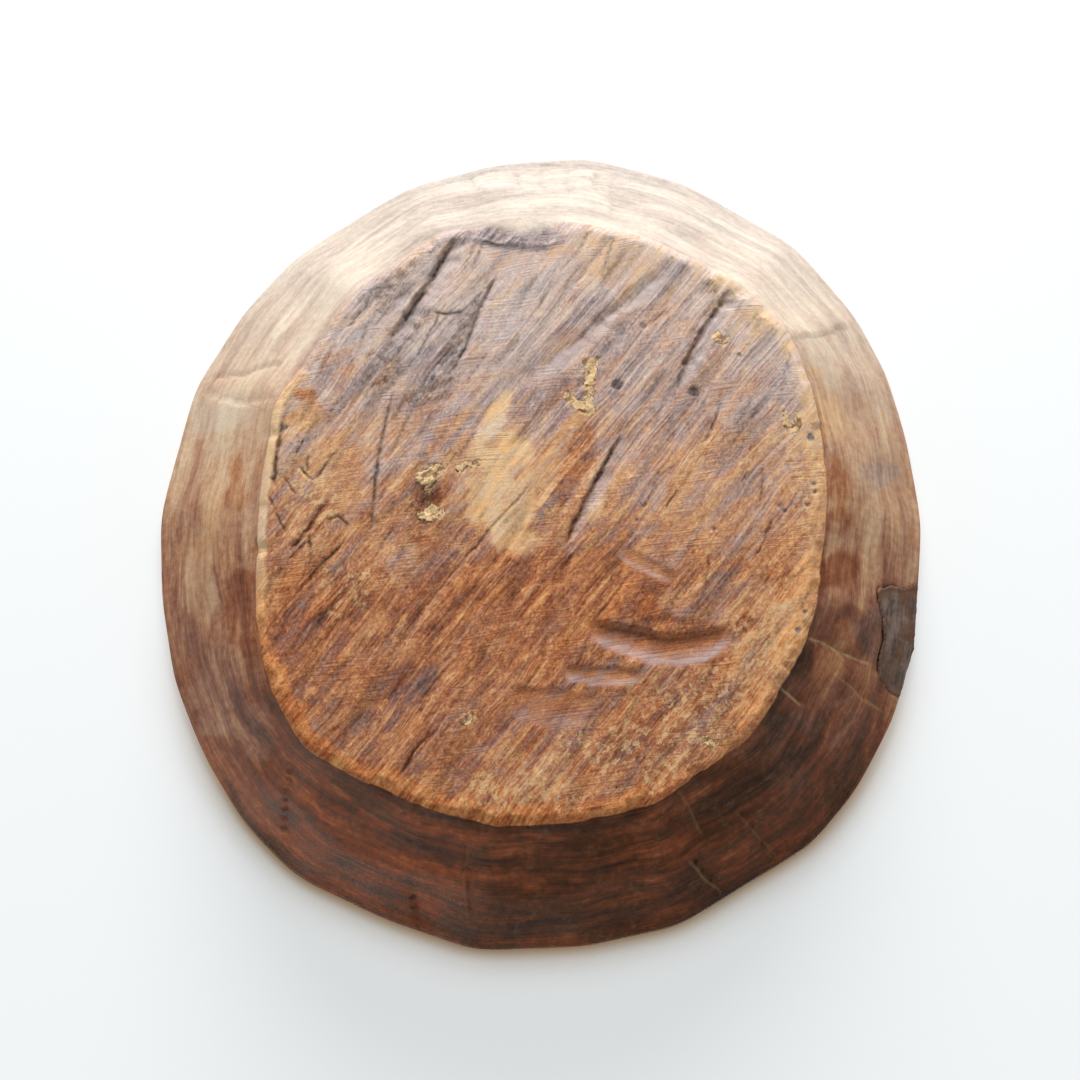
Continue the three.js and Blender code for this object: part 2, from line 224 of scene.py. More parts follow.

# Worm holes in the foot: photograph pixel, width in pixels and how dark each is, from dust and painted
# shade
HOLES = [
    (617, 384, 12, 0.95), (616, 394, 9, 0.45), (621, 331, 12, 0.5), (643, 325, 8, 0.6),
    (694, 391, 12, 0.95), (739, 355, 5, 0.4), (729, 355, 5, 0.3), (683, 352, 5, 0.5),
    (689, 345, 4, 0.4), (691, 419, 7, 0.3), (617, 408, 9, 0.25), (709, 431, 7, 0.35),
    (811, 437, 9, 0.7), (698, 484, 6, 0.3), (714, 529, 5, 0.5), (780, 506, 5, 0.5),
    (785, 511, 4, 0.5), (814, 484, 5, 0.5), (815, 492, 4, 0.5), (808, 505, 5, 0.5),
    (643, 506, 5, 0.4), (637, 520, 4, 0.4), (285, 427, 6, 0.7), (302, 606, 5, 0.6),
    (798, 630, 6, 0.6), (805, 612, 5, 0.6),
]
HOLE_DEPTH = 1.2

# Fillers in their pits and the bark strip, in millimetres
PIT_DEPTH = 2.6
SMEAR_WIDTH = 2.0
FILLER_VOXEL = 0.34
FILLER_RAISE = 0.3
FILLER_SPREAD = 0.15
FILLER_LUMP = 0.5
LUMP_SIZE = 1.2
FRAY = 2.6
FRAY_SIZE = 1.7
BARK_VOXEL = 0.55
FURROW_DEPTH = 0.9
BARK_FRAY = 2.0
BARK_RIM = 9

# Depth of the materials' relief in metres
RELIEF = {"grain": 0.0004, "grit": 0.0011, "filler": 0.0007, "bark": 0.0009}

# The foot's edge: turn in degrees from the photograph's right downwards, tone, warmth, how strongly it
# shows and how far in it reaches in millimetres
FOOT_EDGE = [
    (-160, 1.00, -0.10, 0.9, 1.5),
    (-130, 0.62, -0.60, 0.1, 3.0),
    (-95, 0.60, -1.00, 0.1, 3.0),
    (-75, 0.92, -0.60, 0.6, 3.5),
    (-45, 0.95, -0.45, 0.9, 6.0),
    (-25, 0.95, -0.20, 0.9, 6.5),
    (0, 0.84, 0.30, 0.8, 5.0),
    (30, 0.80, 0.40, 0.8, 7.0),
    (60, 0.72, 0.90, 0.8, 6.0),
    (90, 0.68, 1.30, 0.9, 5.0),
    (125, 0.70, 1.40, 0.9, 6.0),
    (150, 0.70, 1.10, 0.9, 5.0),
    (175, 1.00, -0.10, 0.9, 1.4),
]
# Painted shade on the wall just under that edge: how dark, by the same turn, and how far down it reaches
# in millimetres
UNDER_EDGE = [
    (-180, 0.1), (-90, 0.0), (-45, 0.1), (-25, 0.5), (0, 0.65), (20, 0.75), (45, 0.75), (90, 0.9),
    (110, 0.95), (150, 0.7), (180, 0.1),
]
UNDER_REACH = 5.0

# Steps in the wall where one adze cut stops at the next, as photograph pixels with the lower side on
# the right hand, then the height of the step in millimetres and how pale its edge is
WALL_STEPS = [
    ([(872, 668), (840, 653), (806, 638)], 1.2, 0.75),
    ([(804, 705), (793, 697), (781, 687)], 1.0, 0.6),
    ([(884, 714), (862, 696), (838, 678)], 0.7, 0.3),
    ([(706, 834), (690, 812), (674, 788)], 0.9, 0.15),
    ([(684, 845), (674, 826), (663, 806)], 0.8, 0.0),
    ([(722, 898), (706, 876), (690, 855)], 1.1, 0.2),
    ([(778, 862), (756, 834), (733, 805)], 1.0, 0.1),
    ([(468, 925), (466, 880), (464, 843)], 0.9, 0.1),
    ([(416, 934), (414, 915), (411, 892)], 1.4, 0.0),
    ([(282, 850), (284, 800), (292, 752)], 1.0, 0.0),
    ([(216, 716), (232, 700), (246, 688)], 0.7, 0.0),
    ([(278, 398), (240, 404), (199, 393)], 0.9, 0.0),
    ([(791, 336), (822, 332), (856, 322)], 0.9, 0.2),
    ([(471, 173), (476, 184), (485, 194)], 0.8, 0.0),
    ([(517, 168), (519, 181), (523, 195)], 0.9, 0.0),
    ([(543, 167), (544, 181), (546, 196)], 0.7, 0.0),
    ([(569, 166), (570, 181), (571, 196)], 0.7, 0.0),
    ([(592, 192), (593, 180), (597, 168)], 1.1, 0.0),
    ([(610, 222), (611, 195), (611, 170)], 0.8, 0.0),
]
WALL_STEP_FADE = 9.0
WALL_STEP_TAPER = 0.2
# The pale edge of a step: its width and how far off the wall it fades, in metres
CREASE_WIDTH = 0.0011
CREASE_LIFT = (0.004, 0.007)
# Cracks as photograph pixels with a depth in millimetres, and their width in pixels
WALL_CRACKS = [([(212, 377), (228, 374), (243, 373), (258, 367), (277, 363)], 0.8)]
WALL_CRACK_WIDTH = 2.0

# Tone from 0 to 1 and warmth from about -1, grey, to 1, orange: first by photograph row,
# then in patches, each with its photograph pixel, half sizes in pixels, turn in degrees, tone, warmth
# and how strongly it shows. Besides the wood's own tone, the rows carry painted light and shade.
# On the foot's upper rows the paler, greyer tone is a painted sheen over the wood's own tone
FOOT_SHADES = [
    (225, 0.79, -0.75),
    (330, 0.76, -0.85),
    (400, 0.71, -0.65),
    (470, 0.71, -0.35),
    (540, 0.65, -0.05),
    (600, 0.57, 0.22),
    (660, 0.58, 0.10),
    (720, 0.58, -0.05),
    (780, 0.60, 0.05),
    (820, 0.62, 0.20),
]
FOOT_PATCHES = [
    (355, 275, 40, 20, 50, 0.56, -1.00, 0.7),
    (420, 300, 40, 30, 50, 0.80, -0.90, 0.7),
    (430, 366, 50, 26, 30, 0.58, -1.00, 0.8),
    (578, 320, 34, 32, 30, 0.62, -0.80, 0.8),
    (610, 260, 74, 32, -15, 0.90, -0.35, 0.8),
    (740, 315, 46, 24, -40, 0.86, -0.40, 0.6),
    (620, 356, 96, 54, 30, 0.64, -0.70, 0.7),
    (545, 402, 60, 30, 20, 0.58, -0.65, 0.8),
    (438, 430, 30, 28, 0, 0.60, -0.60, 0.8),
    (336, 374, 28, 26, 20, 0.62, -0.60, 0.8),
    (690, 390, 60, 36, 50, 0.66, -0.55, 0.5),
    (710, 500, 90, 76, 0, 0.71, -0.30, 0.7),
    (496, 474, 64, 24, 62, 0.98, 0.22, 1.0),
    (508, 510, 52, 26, 68, 0.98, 0.25, 1.0),
    (534, 476, 50, 13, 50, 0.92, 0.20, 0.8),
    (560, 442, 44, 10, 48, 0.84, 0.15, 0.7),
    (594, 511, 22, 8, 62, 0.92, 0.10, 0.9),
    (471, 411, 30, 7, 50, 0.80, 0.05, 0.6),
    (497, 412, 48, 13, 62, 1.00, 0.05, 1.0),
    (518, 546, 26, 14, 10, 0.92, 0.25, 0.9),
    (574, 470, 16, 64, -24, 0.52, -0.05, 0.7),
    (430, 506, 26, 44, 0, 0.54, -0.20, 0.8),
    (430, 496, 14, 11, 0, 0.34, -0.20, 0.9),
    (424, 540, 16, 9, 0, 0.44, 0.00, 0.8),
    (476, 534, 18, 14, 0, 0.60, 0.10, 0.7),
    (312, 418, 40, 18, 10, 0.80, 0.10, 0.8),
    (302, 395, 20, 11, 0, 0.54, 0.20, 0.8),
    (330, 465, 34, 50, 20, 0.76, 0.05, 0.6),
    (305, 515, 30, 34, 40, 0.66, 0.05, 0.7),
    (268, 590, 14, 30, 0, 0.76, 0.25, 0.8),
    (396, 556, 24, 40, 20, 0.76, -0.20, 0.8),
    (498, 564, 20, 10, 50, 0.42, 0.00, 0.7),
    (560, 582, 120, 36, 8, 0.60, 0.35, 0.8),
    (546, 588, 26, 12, 0, 0.68, 0.30, 0.7),
    (430, 600, 60, 30, 40, 0.58, 0.15, 0.7),
    (664, 606, 44, 24, -10, 0.42, 0.10, 0.8),
    (662, 556, 44, 16, -10, 0.70, -0.20, 0.7),
    (724, 602, 70, 26, 0, 0.68, -0.25, 0.8),
    (790, 612, 16, 24, 0, 0.92, 0.05, 0.8),
    (336, 614, 26, 18, 40, 0.44, 0.10, 0.8),
    (390, 640, 50, 24, 50, 0.68, 0.05, 0.6),
    (406, 686, 34, 20, 20, 0.38, -0.50, 0.8),
    (545, 650, 70, 24, 10, 0.60, 0.25, 0.6),
    (640, 730, 60, 26, 20, 0.48, 0.20, 0.6),
    (438, 744, 44, 18, -10, 0.50, -0.05, 0.6),
    (630, 670, 40, 16, 0, 0.66, -0.20, 0.6),
    (800, 580, 16, 54, 0, 0.78, 0.15, 0.8),
    (728, 668, 20, 18, 0, 0.56, 0.05, 0.7),
    (476, 588, 18, 14, 0, 0.46, 0.15, 0.7),
    (700, 420, 20, 18, 0, 0.60, -0.50, 0.7),
    (762, 650, 30, 50, -30, 0.78, 0.20, 0.7),
    (705, 745, 60, 18, 35, 0.70, 0.20, 0.7),
    (528, 776, 44, 24, 0, 0.72, 0.05, 0.8),
    (672, 726, 26, 16, 30, 0.68, 0.15, 0.7),
    (500, 756, 24, 14, 0, 0.70, 0.00, 0.6),
    (400, 785, 84, 12, -25, 0.62, 0.50, 0.7),
    (518, 237, 50, 14, -3, 0.40, -1.30, 1.0),
    (461, 240, 14, 8, 40, 0.52, -1.00, 0.8),
]
# On the wall the top rows' pale grey cream is painted glare on the side facing the light, and the lowest
# rows' dark tone is partly painted shade on the side facing away
WALL_SHADES = [
    (165, 0.67, -1.15),
    (230, 0.72, -1.02),
    (290, 0.79, -0.88),
    (360, 0.83, -0.65),
    (430, 0.80, -0.35),
    (530, 0.71, -0.22),
    (640, 0.56, -0.20),
    (740, 0.39, -0.05),
    (860, 0.26, 0.50),
    (950, 0.26, 0.55),
]
WALL_PATCHES = [
    (820, 410, 24, 50, 10, 0.88, 0.00, 0.8),
    (224, 414, 30, 34, -10, 0.93, -0.60, 0.8),
    (200, 596, 18, 44, 0, 0.86, -0.25, 0.8),
    (212, 530, 16, 46, -5, 0.84, -0.10, 0.7),
    (236, 474, 12, 40, -5, 0.62, 0.00, 0.9),
    (244, 626, 20, 56, 5, 0.50, 0.00, 1.0),
    (226, 700, 40, 64, 20, 0.60, -0.40, 0.7),
    (880, 472, 26, 20, 0, 0.62, -0.80, 0.6),
    (838, 482, 12, 34, 5, 0.66, 0.30, 0.7),
    (838, 522, 14, 14, 0, 0.54, 0.00, 0.7),
    (838, 570, 30, 22, 0, 0.44, 0.05, 1.0),
    (852, 620, 18, 16, 0, 0.26, -0.20, 0.7),
    (850, 654, 42, 30, -20, 0.60, 0.00, 1.0),
    (830, 666, 26, 20, -20, 0.64, 0.05, 1.0),
    # Painted shade on the lower side of the first step
    (804, 662, 9, 22, -20, 0.18, -0.15, 0.8),
    (765, 750, 40, 60, 40, 0.36, -0.30, 0.8),
    (803, 722, 14, 20, 40, 0.26, -0.60, 0.8),
    (834, 716, 40, 44, 40, 0.45, -0.25, 0.7),
    (720, 805, 54, 40, 40, 0.18, 0.30, 0.8),
    (590, 862, 90, 30, -2, 0.15, 0.50, 0.9),
    (480, 862, 14, 26, 0, 0.16, 0.10, 0.7),
    (516, 880, 16, 40, -34, 0.18, 0.40, 0.7),
    (350, 836, 80, 50, -30, 0.39, 0.85, 0.8),
    (440, 890, 44, 28, 0, 0.40, 0.85, 0.8),
    (690, 890, 44, 28, -30, 0.12, 0.40, 1.0),
    (600, 886, 60, 16, 0, 0.20, 0.40, 0.6),
    (256, 744, 22, 22, 0, 0.44, -0.50, 0.6),
    (888, 640, 30, 68, 8, 0.38, -0.50, 0.8),
    (884, 590, 18, 14, 0, 0.34, -0.40, 0.7),
]
WALL_TONE_AND_LIGHT = (WALL_SHADES, WALL_PATCHES, 51)
FOOT_TONE_AND_LIGHT = (FOOT_SHADES, FOOT_PATCHES, 61)
# The inside's finish, and over how many rows the wall's finish fades into it
INSIDE_TONE = 0.50
INSIDE_WARMTH = -0.10
INSIDE_FADE = 5
# Ragged edges of patches in pixels, and of the foot's rubbed band in millimetres
PATCH_RAGGED_SIZE = 24
EDGE_RAGGED_SIZE = 7

# Crumbs of torn and crumbling grain: turn in degrees, then sizes and depth in millimetres
GRAIN_TURN = 52
CRUMB_SIZE = (3.0, 1.5)
RAGGED_SIZE = 9
TORN_DEPTH = 0.9
# Torn grain: photograph pixel, half sizes in pixels, turn in degrees
TORN = [
    (396, 286, 56, 14, 57),
    (395, 350, 60, 20, 52),
    (455, 340, 50, 12, 60),
    (430, 390, 44, 16, 40),
    (360, 290, 40, 16, 45),
    (712, 284, 24, 10, 40),
    (420, 500, 20, 40, 0),
]

# Crumbling bare grain: photograph pixel, half sizes in pixels, turn in degrees
CRUMBLING = [
    (690, 725, 110, 46, 35),
    (772, 630, 34, 90, -20),
    (620, 745, 80, 30, 10),
    (810, 470, 20, 90, 4),
    (520, 790, 90, 24, 0),
    (304, 480, 30, 80, 10),
    (345, 590, 40, 24, 50),
]

# Light: where each lamp stands as a direction from the bowl, the level that a white card facing it
# would show, its distance and its size in metres
AMBIENT = 0.40
LAMPS = [
    ("window", (0.0, -0.9, -0.44), 1.3, 1.7, 1.1),
    ("front_key", (0.1, -0.7, 0.7), 0.6, 1.8, 1.2),
    ("back_fill", (-0.5, 0.6, 0.62), 0.4, 1.8, 1.4),
    ("top_fill", (0.2, 0.1, 0.97), 0.3, 1.8, 1.4),
]
FLOOR_COLOUR = (0.70, 0.70, 0.69)
FLOOR_TINT = (1.0, 1.0, 1.0)
TABLE_COLOUR = (0.45, 0.46, 0.465)
TABLE_GLOW = 0.55
TABLE_TINT = (0.965, 1.0, 1.005)
# Painted contact shadow on the table beside the bowl's lower side: its colour, how far the occlusion
# reaches in metres and the table's Y band in metres over which it fades in
CONTACT_SHADOW_COLOUR = (0.30, 0.22, 0.12)
CONTACT_REACH = 0.02
CONTACT_SIDE = (0.02, 0.12)
STAGE_SIZE = 12.0
FADE_REACH = (0.5, 1.9)
TABLE_GAP = 0.4 * MM


def linear(colour):
    """A colour, given by name or out of 255, as linear light and full opacity."""
    srgb = np.array(COLOURS.get(colour, colour)) / 255
    light = np.where(srgb <= 0.04045, srgb / 12.92, ((srgb + 0.055) / 1.055) ** 2.4)
    return (*light, 1.0)


def smoothstep(low, high, value):
    share = np.clip((value - low) / (high - low), 0.0, 1.0)
    return share * share * (3 - 2 * share)


def tapered(share, width):
    """1 along a mark, falling to 0 at both of its ends."""
    return smoothstep(0.0, width, share) * smoothstep(0.0, width, 1 - share)


def value_noise(x, y, seed, wrap=LATTICE):
    """Smooth noise from 0 to 1 on a lattice of unit cells, which repeats along x after wrap cells."""
    table = np.random.default_rng(seed).random((wrap, LATTICE))
    column = np.floor(x).astype(int)
    row = np.floor(y).astype(int)
    across = smoothstep(0.0, 1.0, x - column)
    down = smoothstep(0.0, 1.0, y - row)
    left, right = column % wrap, (column + 1) % wrap
    low, high = row % LATTICE, (row + 1) % LATTICE
    near = table[left, low] * (1 - across) + table[right, low] * across
    far = table[left, high] * (1 - across) + table[right, high] * across
    return near * (1 - down) + far * down


def fractal(x, y, seed, octaves, wrap=LATTICE):
    """Octaves of value noise, each twice as fine and half as strong, from 0 to 1."""
    total = np.zeros_like(x)
    for octave in range(octaves):
        fine = 2 ** octave
        total += value_noise(x * fine, y * fine, seed + octave, wrap * fine) / fine
    return total / (2 - 2 / 2 ** octaves)


def blotches(points, size, seed, octaves):
    """Noise over the first two coordinates of points, in cells of that size at their coarsest."""
    return fractal(points[:, 0] / size, points[:, 1] / size, seed, octaves)


def turned(points, degrees):
    """Coordinates along and across a direction that rises to the photograph's right by that turn."""
    angle = math.radians(degrees)
    along = points[:, 0] * math.cos(angle) - points[:, 1] * math.sin(angle)
    across = points[:, 0] * math.sin(angle) + points[:, 1] * math.cos(angle)
    return along, across


def to_photo(points):
    """Photograph pixels of points in millimetres."""
    ray = points - CAMERA_PLACE
    ahead = ray @ CAMERA_AHEAD
    across = PHOTO_SIZE / 2 + FOCAL_PIXELS * (ray @ CAMERA_RIGHT) / ahead
    down = PHOTO_SIZE / 2 + FOCAL_PIXELS * (ray @ CAMERA_DOWN) / ahead
    return np.stack([across, down], axis=1)


def photo_rays(pixels):
    offset = np.asarray(pixels, float) - PHOTO_SIZE / 2
    return CAMERA_AHEAD * FOCAL_PIXELS + offset[:, :1] * CAMERA_RIGHT + offset[:, 1:] * CAMERA_DOWN


def lifted(places, height=0.0):
    """Points in space at one height over places in the plane."""
    return np.hstack([places, np.full((len(places), 1), height)])


def on_foot(pixels):
    """Where photograph pixels lie on the plane of the foot, in millimetres."""
    rays = photo_rays(pixels)
    return (CAMERA_PLACE + rays * (-CAMERA_PLACE[2] / rays[:, 2:]))[:, :2]


def cad_tree(names):
    """Search tree over the faces of some CAD nodes, in millimetres."""
    corners, faces = [], []
    for name in names:
        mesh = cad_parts[name].data
        mesh.calc_loop_triangles()
        start = len(corners)
        corners += [v.co / MM for v in mesh.vertices]
        faces += [[start + i for i in t.vertices] for t in mesh.loop_triangles]
    return BVHTree.FromPolygons(corners, faces)


def cast(tree, starts, directions):
    """First point that each ray meets."""
    hits = np.zeros_like(starts)
    for i, (start, direction) in enumerate(zip(starts, directions)):
        hits[i] = tree.ray_cast(Vector(start), Vector(direction))[0]
    return hits


def polyline_distance(points, corners):
    """Distance to a polyline, right hand positive, and the share of its length at the nearest place."""
    corners = np.asarray(corners, float)
    steps = corners[1:] - corners[:-1]
    lengths = np.linalg.norm(steps, axis=1)
    before = np.concatenate([[0.0], np.cumsum(lengths)])
    best = np.full(len(points), np.inf)
    side = np.zeros(len(points))
    share = np.zeros(len(points))
    for i, (step, length) in enumerate(zip(steps, lengths)):
        offset = points - corners[i]
        along = np.clip(offset @ step / length ** 2, 0.0, 1.0)
        distance = np.linalg.norm(offset - along[:, None] * step, axis=1)
        nearer = distance < best
        best[nearer] = distance[nearer]
        side[nearer] = np.sign(step[0] * offset[:, 1] - step[1] * offset[:, 0])[nearer]
        share[nearer] = ((before[i] + along * length) / before[-1])[nearer]
    return best * np.where(side == 0, 1, side), share


def inside_polygon(points, corners):
    inside = np.zeros(len(points), bool)
    for a, b in zip(corners, np.roll(corners, -1, axis=0)):
        crosses = (a[1] > points[:, 1]) != (b[1] > points[:, 1])
        slope = (b[0] - a[0]) / (b[1] - a[1]) if b[1] != a[1] else 0.0
        inside ^= crosses & (points[:, 0] < a[0] + slope * (points[:, 1] - a[1]))
    return inside


def dishes(points, centres, strokes, along, across, depths):
    """Depth of overlapping shallow tool cuts, and the crests that stay between them."""
    best = np.zeros(len(points))
    second = np.zeros(len(points))
    for centre, stroke, depth in zip(centres, strokes, depths):
        offset = points - centre
        lengthwise = offset @ stroke
        crosswise = np.maximum((offset ** 2).sum(axis=1) - lengthwise ** 2, 0.0)
        cut = depth * (1 - (lengthwise / along) ** 2 - crosswise / across ** 2)
        second = np.maximum(second, np.minimum(best, cut))
        best = np.maximum(best, cut)
    return best, np.exp(-((best - second) / 0.05) ** 2) * (best > 0)


# The bowl's skin: foot edge, wall, lip and inside as one grid of rows and columns

def column_turns():
    return np.arange(COLUMNS) / COLUMNS * 2 * math.pi


def column_directions():
    turns = column_turns()
    return np.stack([np.cos(turns), np.sin(turns), np.zeros(COLUMNS)], axis=1)


def level_radii(tree, heights, inwards=True):
    """How far from the axis level rays meet a surface, cast inwards or from the axis out."""
    out = column_directions()
    lift = heights[:, None] * UP
    rays = (out * RAY_START + lift, -out) if inwards else (lift, out)
    return np.linalg.norm(cast(tree, *rays)[:, :2], axis=1)


def blurred(values):
    """Smooths a ring of values along its columns, which rounds the ridges."""
    reach = np.arange(-BLUR_COLUMNS, BLUR_COLUMNS + 1)
    weights = np.exp(-0.5 * (reach / RIDGE_BLUR) ** 2)
    rolled = [np.roll(values, k, axis=0) * w for k, w in zip(reach, weights)]
    return sum(rolled) / weights.sum()


def shell_rows(envelope, body):
    """Rows of points up the wall, over the lip and down the inside, and how many the wall has."""
    out = column_directions()
    below_lip = np.full(COLUMNS, cad_box[1][2] / MM - 2 * LIP_DROP)
    wide, narrow = level_radii(envelope, below_lip), level_radii(envelope, below_lip, False)
    middle = out * ((wide + narrow) / 2)[:, None]
    lip_top = cast(envelope, middle + UP * RAY_START, np.tile(-UP, (COLUMNS, 1)))[:, 2]
    lip = blurred(lip_top) - LIP_DROP
    centre = middle + lip[:, None] * UP

    rows = []
    shares = np.linspace(0.0, 1.0, WALL_ROWS)
    heights = [np.full(COLUMNS, h) for h in EDGE_HEIGHTS]
    heights += [WALL_START + s * (lip - WALL_START) for s in shares]
    for height in heights:
        whole, wood = level_radii(envelope, height), level_radii(body, height)
        recess = np.where(whole - wood > LEAST_RECESS, whole - wood, 0.0)
        rows.append(out * (blurred(whole) - recess)[:, None] + height[:, None] * UP)
    for bend in np.linspace(0.0, math.pi, LIP_ROWS + 2)[1:-1]:
        direction = out * math.cos(bend) + UP * math.sin(bend)
        rows.append(blurred(cast(envelope, centre + direction * LIP_DROP * 5, -direction)))
    for bend in inside_bends(envelope, lip[0]):
        direction = out * math.cos(bend) - UP * math.sin(bend)
        rows.append(cast(envelope, lip[:, None] * UP, direction))
    return np.array(rows), len(heights)


def inside_bends(tree, height):
    """Angles below level, seen from the middle of the mouth, that space the inside's rows evenly."""
    bends = np.linspace(0.0, math.pi / 2 - 0.01, 300)
    starts = np.tile([0.0, 0.0, height], (len(bends), 1))
    directions = np.stack([np.cos(bends), np.zeros(len(bends)), -np.sin(bends)], axis=1)
    hits = cast(tree, starts, directions)
    walked = np.concatenate([[0.0], np.cumsum(np.linalg.norm(np.diff(hits, axis=0), axis=1))])
    last = np.interp(-FLOOR_RADIUS, -hits[:, 0], walked)
    return np.interp(np.linspace(0.0, last, INSIDE_ROWS), walked, bends)


def grid_normals(rows):
    """Normals of the grid that point out of the wood."""
    across = np.roll(rows, -1, axis=1) - np.roll(rows, 1, axis=1)
    along = np.gradient(rows, axis=0)
    normals = np.cross(across, along)
    return normals / np.linalg.norm(normals, axis=2, keepdims=True)


# Carving: depths in millimetres, and the marks that each tool leaves

def spread_out(points, gap, draw):
    """Points drawn at random that keep the gap to each other."""
    kept = []
    for point in draw.permutation(points):
        if all(np.linalg.norm(point - other) > gap for other in kept):
            kept.append(point)
    return np.array(kept)


def tool_cuts(points, tool):
    """Depth of a tool's cuts all over some points, and the crests that stay between them."""
    seed, gap, length, width, depths, lean, rise = tool
    draw = np.random.default_rng(seed)
    picks = np.linspace(0, len(points) - 1, TOOL_PICKS).astype(int)
    centres = spread_out(points[picks], gap, draw)
    strokes = centres * [lean, lean, 0.0] + [0.0, 0.0, rise]
    strokes /= np.linalg.norm(strokes, axis=1, keepdims=True)
    return dishes(points, centres, strokes, length, width, draw.uniform(*depths, len(centres)))


def carve_wall(points, pixels):
    """Adze facets, steps and cracks of the outer wall, with worn crests and painted shade below the
    steps and in the cracks.
    """
    depth, crest = tool_cuts(points, ADZE)
    shade_and_dust = np.zeros(len(points))
    for corners, height, pale in WALL_STEPS:
        distance, share = polyline_distance(pixels, corners)
        ends = tapered(share, WALL_STEP_TAPER)
        lower = np.where(distance > 0, np.exp(-distance / WALL_STEP_FADE), 0.0)
        near = np.abs(distance) < 4 * WALL_STEP_FADE
        depth += height * lower * ends * near
        # Painted shade on the lower side of each step, deeper where its edge is pale
        dark = (0.16 + 0.35 * pale) * ends * lower * (distance < 2 * WALL_STEP_FADE)
        shade_and_dust = np.maximum(shade_and_dust, dark)
    for corners, deep in WALL_CRACKS:
        distance, _ = polyline_distance(pixels, corners)
        line = np.exp(-(distance / WALL_CRACK_WIDTH) ** 2)
        depth += deep * line
        # Painted shade along the crack
        shade_and_dust = np.maximum(shade_and_dust, 0.3 * line)
    return depth, crest * 0.10, shade_and_dust


def carve_shell(rows, outer):
    """The grid with its tool cuts, lumps and chipped edge, how worn it is, and its painted shade."""
    lip_end = outer + LIP_ROWS
    turns = np.tile(column_turns() / (2 * math.pi), (len(rows), 1))
    height = np.repeat(np.arange(len(rows))[:, None], COLUMNS, axis=1) * 1.0
    depth, worn, shade_and_dust = np.zeros((3, *rows.shape[:2]))
    wall = rows[:outer].reshape(-1, 3)
    marks = carve_wall(wall, to_photo(wall))
    depth[:outer], worn[:outer], shade_and_dust[:outer] = (m.reshape(outer, COLUMNS) for m in marks)
    fade = smoothstep(0, EDGE_FADE_ROWS, np.arange(outer))[:, None] * 0.7 + 0.3
    depth[:outer] *= fade * smoothstep(0, LIP_FADE_ROWS, outer - np.arange(outer))[:, None]
    scoop, crest = tool_cuts(rows[lip_end:].reshape(-1, 3), GOUGE)
    rim_fade = smoothstep(0, LIP_FADE_ROWS, np.arange(len(rows) - lip_end))[:, None]
    depth[lip_end:] = scoop.reshape(-1, COLUMNS) * rim_fade
    worn[lip_end:] = 0.15 * crest.reshape(-1, COLUMNS) * rim_fade
    lump = fractal(turns * LUMPS_ROUND, height / LUMP_ROWS, SEEDS["lumps"], 3, LUMPS_ROUND) - 0.5
    depth[:outer] += WALL_LUMP * lump[:outer]
    depth[outer:lip_end] += LIP_LUMP * lump[outer:lip_end]
    chips = fractal(turns[:1] * CHIPS_ROUND, height[:1], SEEDS["chips"], 3, CHIPS_ROUND)
    chips = CHIP_DEPTH * smoothstep(0.52, 0.75, chips)
    depth[:EDGE_FADE_ROWS] += chips * np.linspace(1.0, 0.0, EDGE_FADE_ROWS)[:, None]
    return rows - grid_normals(rows) * depth[:, :, None], worn, shade_and_dust


def foot_strokes(points):
    """Flutes and stray marks of the chisel that levelled the foot, along one slanting direction, with
    painted shade in them.
    """
    draw = np.random.default_rng(CHISEL_SEED)
    along, across = turned(points, CHISEL_TURN)
    bend = FLUTE_BEND * fractal(along / BEND_SIZE, across / BEND_SIZE, CHISEL_SEED, 2)
    flute = fractal(along / FLUTE_SIZE[0], (across + bend) / FLUTE_SIZE[1], CHISEL_SEED + 5, 3)
    broad = fractal(along / BROAD_SIZE[0], across / BROAD_SIZE[1], CHISEL_SEED + 9, 3)
    depth = FLUTE_DEPTH * smoothstep(0.35, 0.8, flute) + BROAD_DEPTH * smoothstep(0.4, 0.8, broad)
    # Painted shade in the deepest parts of the flutes
    shade_and_dust = 0.35 * smoothstep(0.55, 0.8, flute)
    for _ in range(CHISEL_MARKS):
        start = draw.uniform(*CHISEL_BOX)
        angle = math.radians(draw.normal(CHISEL_TURN, CHISEL_SWAY))
        length = draw.uniform(*CHISEL_LENGTHS)
        width = draw.uniform(*CHISEL_WIDTHS)
        end = start + length * np.array([math.cos(angle), -math.sin(angle)])
        close = np.abs(points - (start + end) / 2).max(axis=1) < length
        distance, share = polyline_distance(points[close], [start, end])
        mark = np.exp(-(distance / width) ** 2) * tapered(share, 0.3)
        depth[close] += 0.4 * width * mark
        # Painted shade along each stray mark
        shade_and_dust[close] = np.maximum(shade_and_dust[close], 0.6 * mark)
    return depth, shade_and_dust


def raise_to(marks, name, values):
    """Lifts a mark to some values wherever these are higher."""
    marks[name] = np.maximum(marks[name], values)


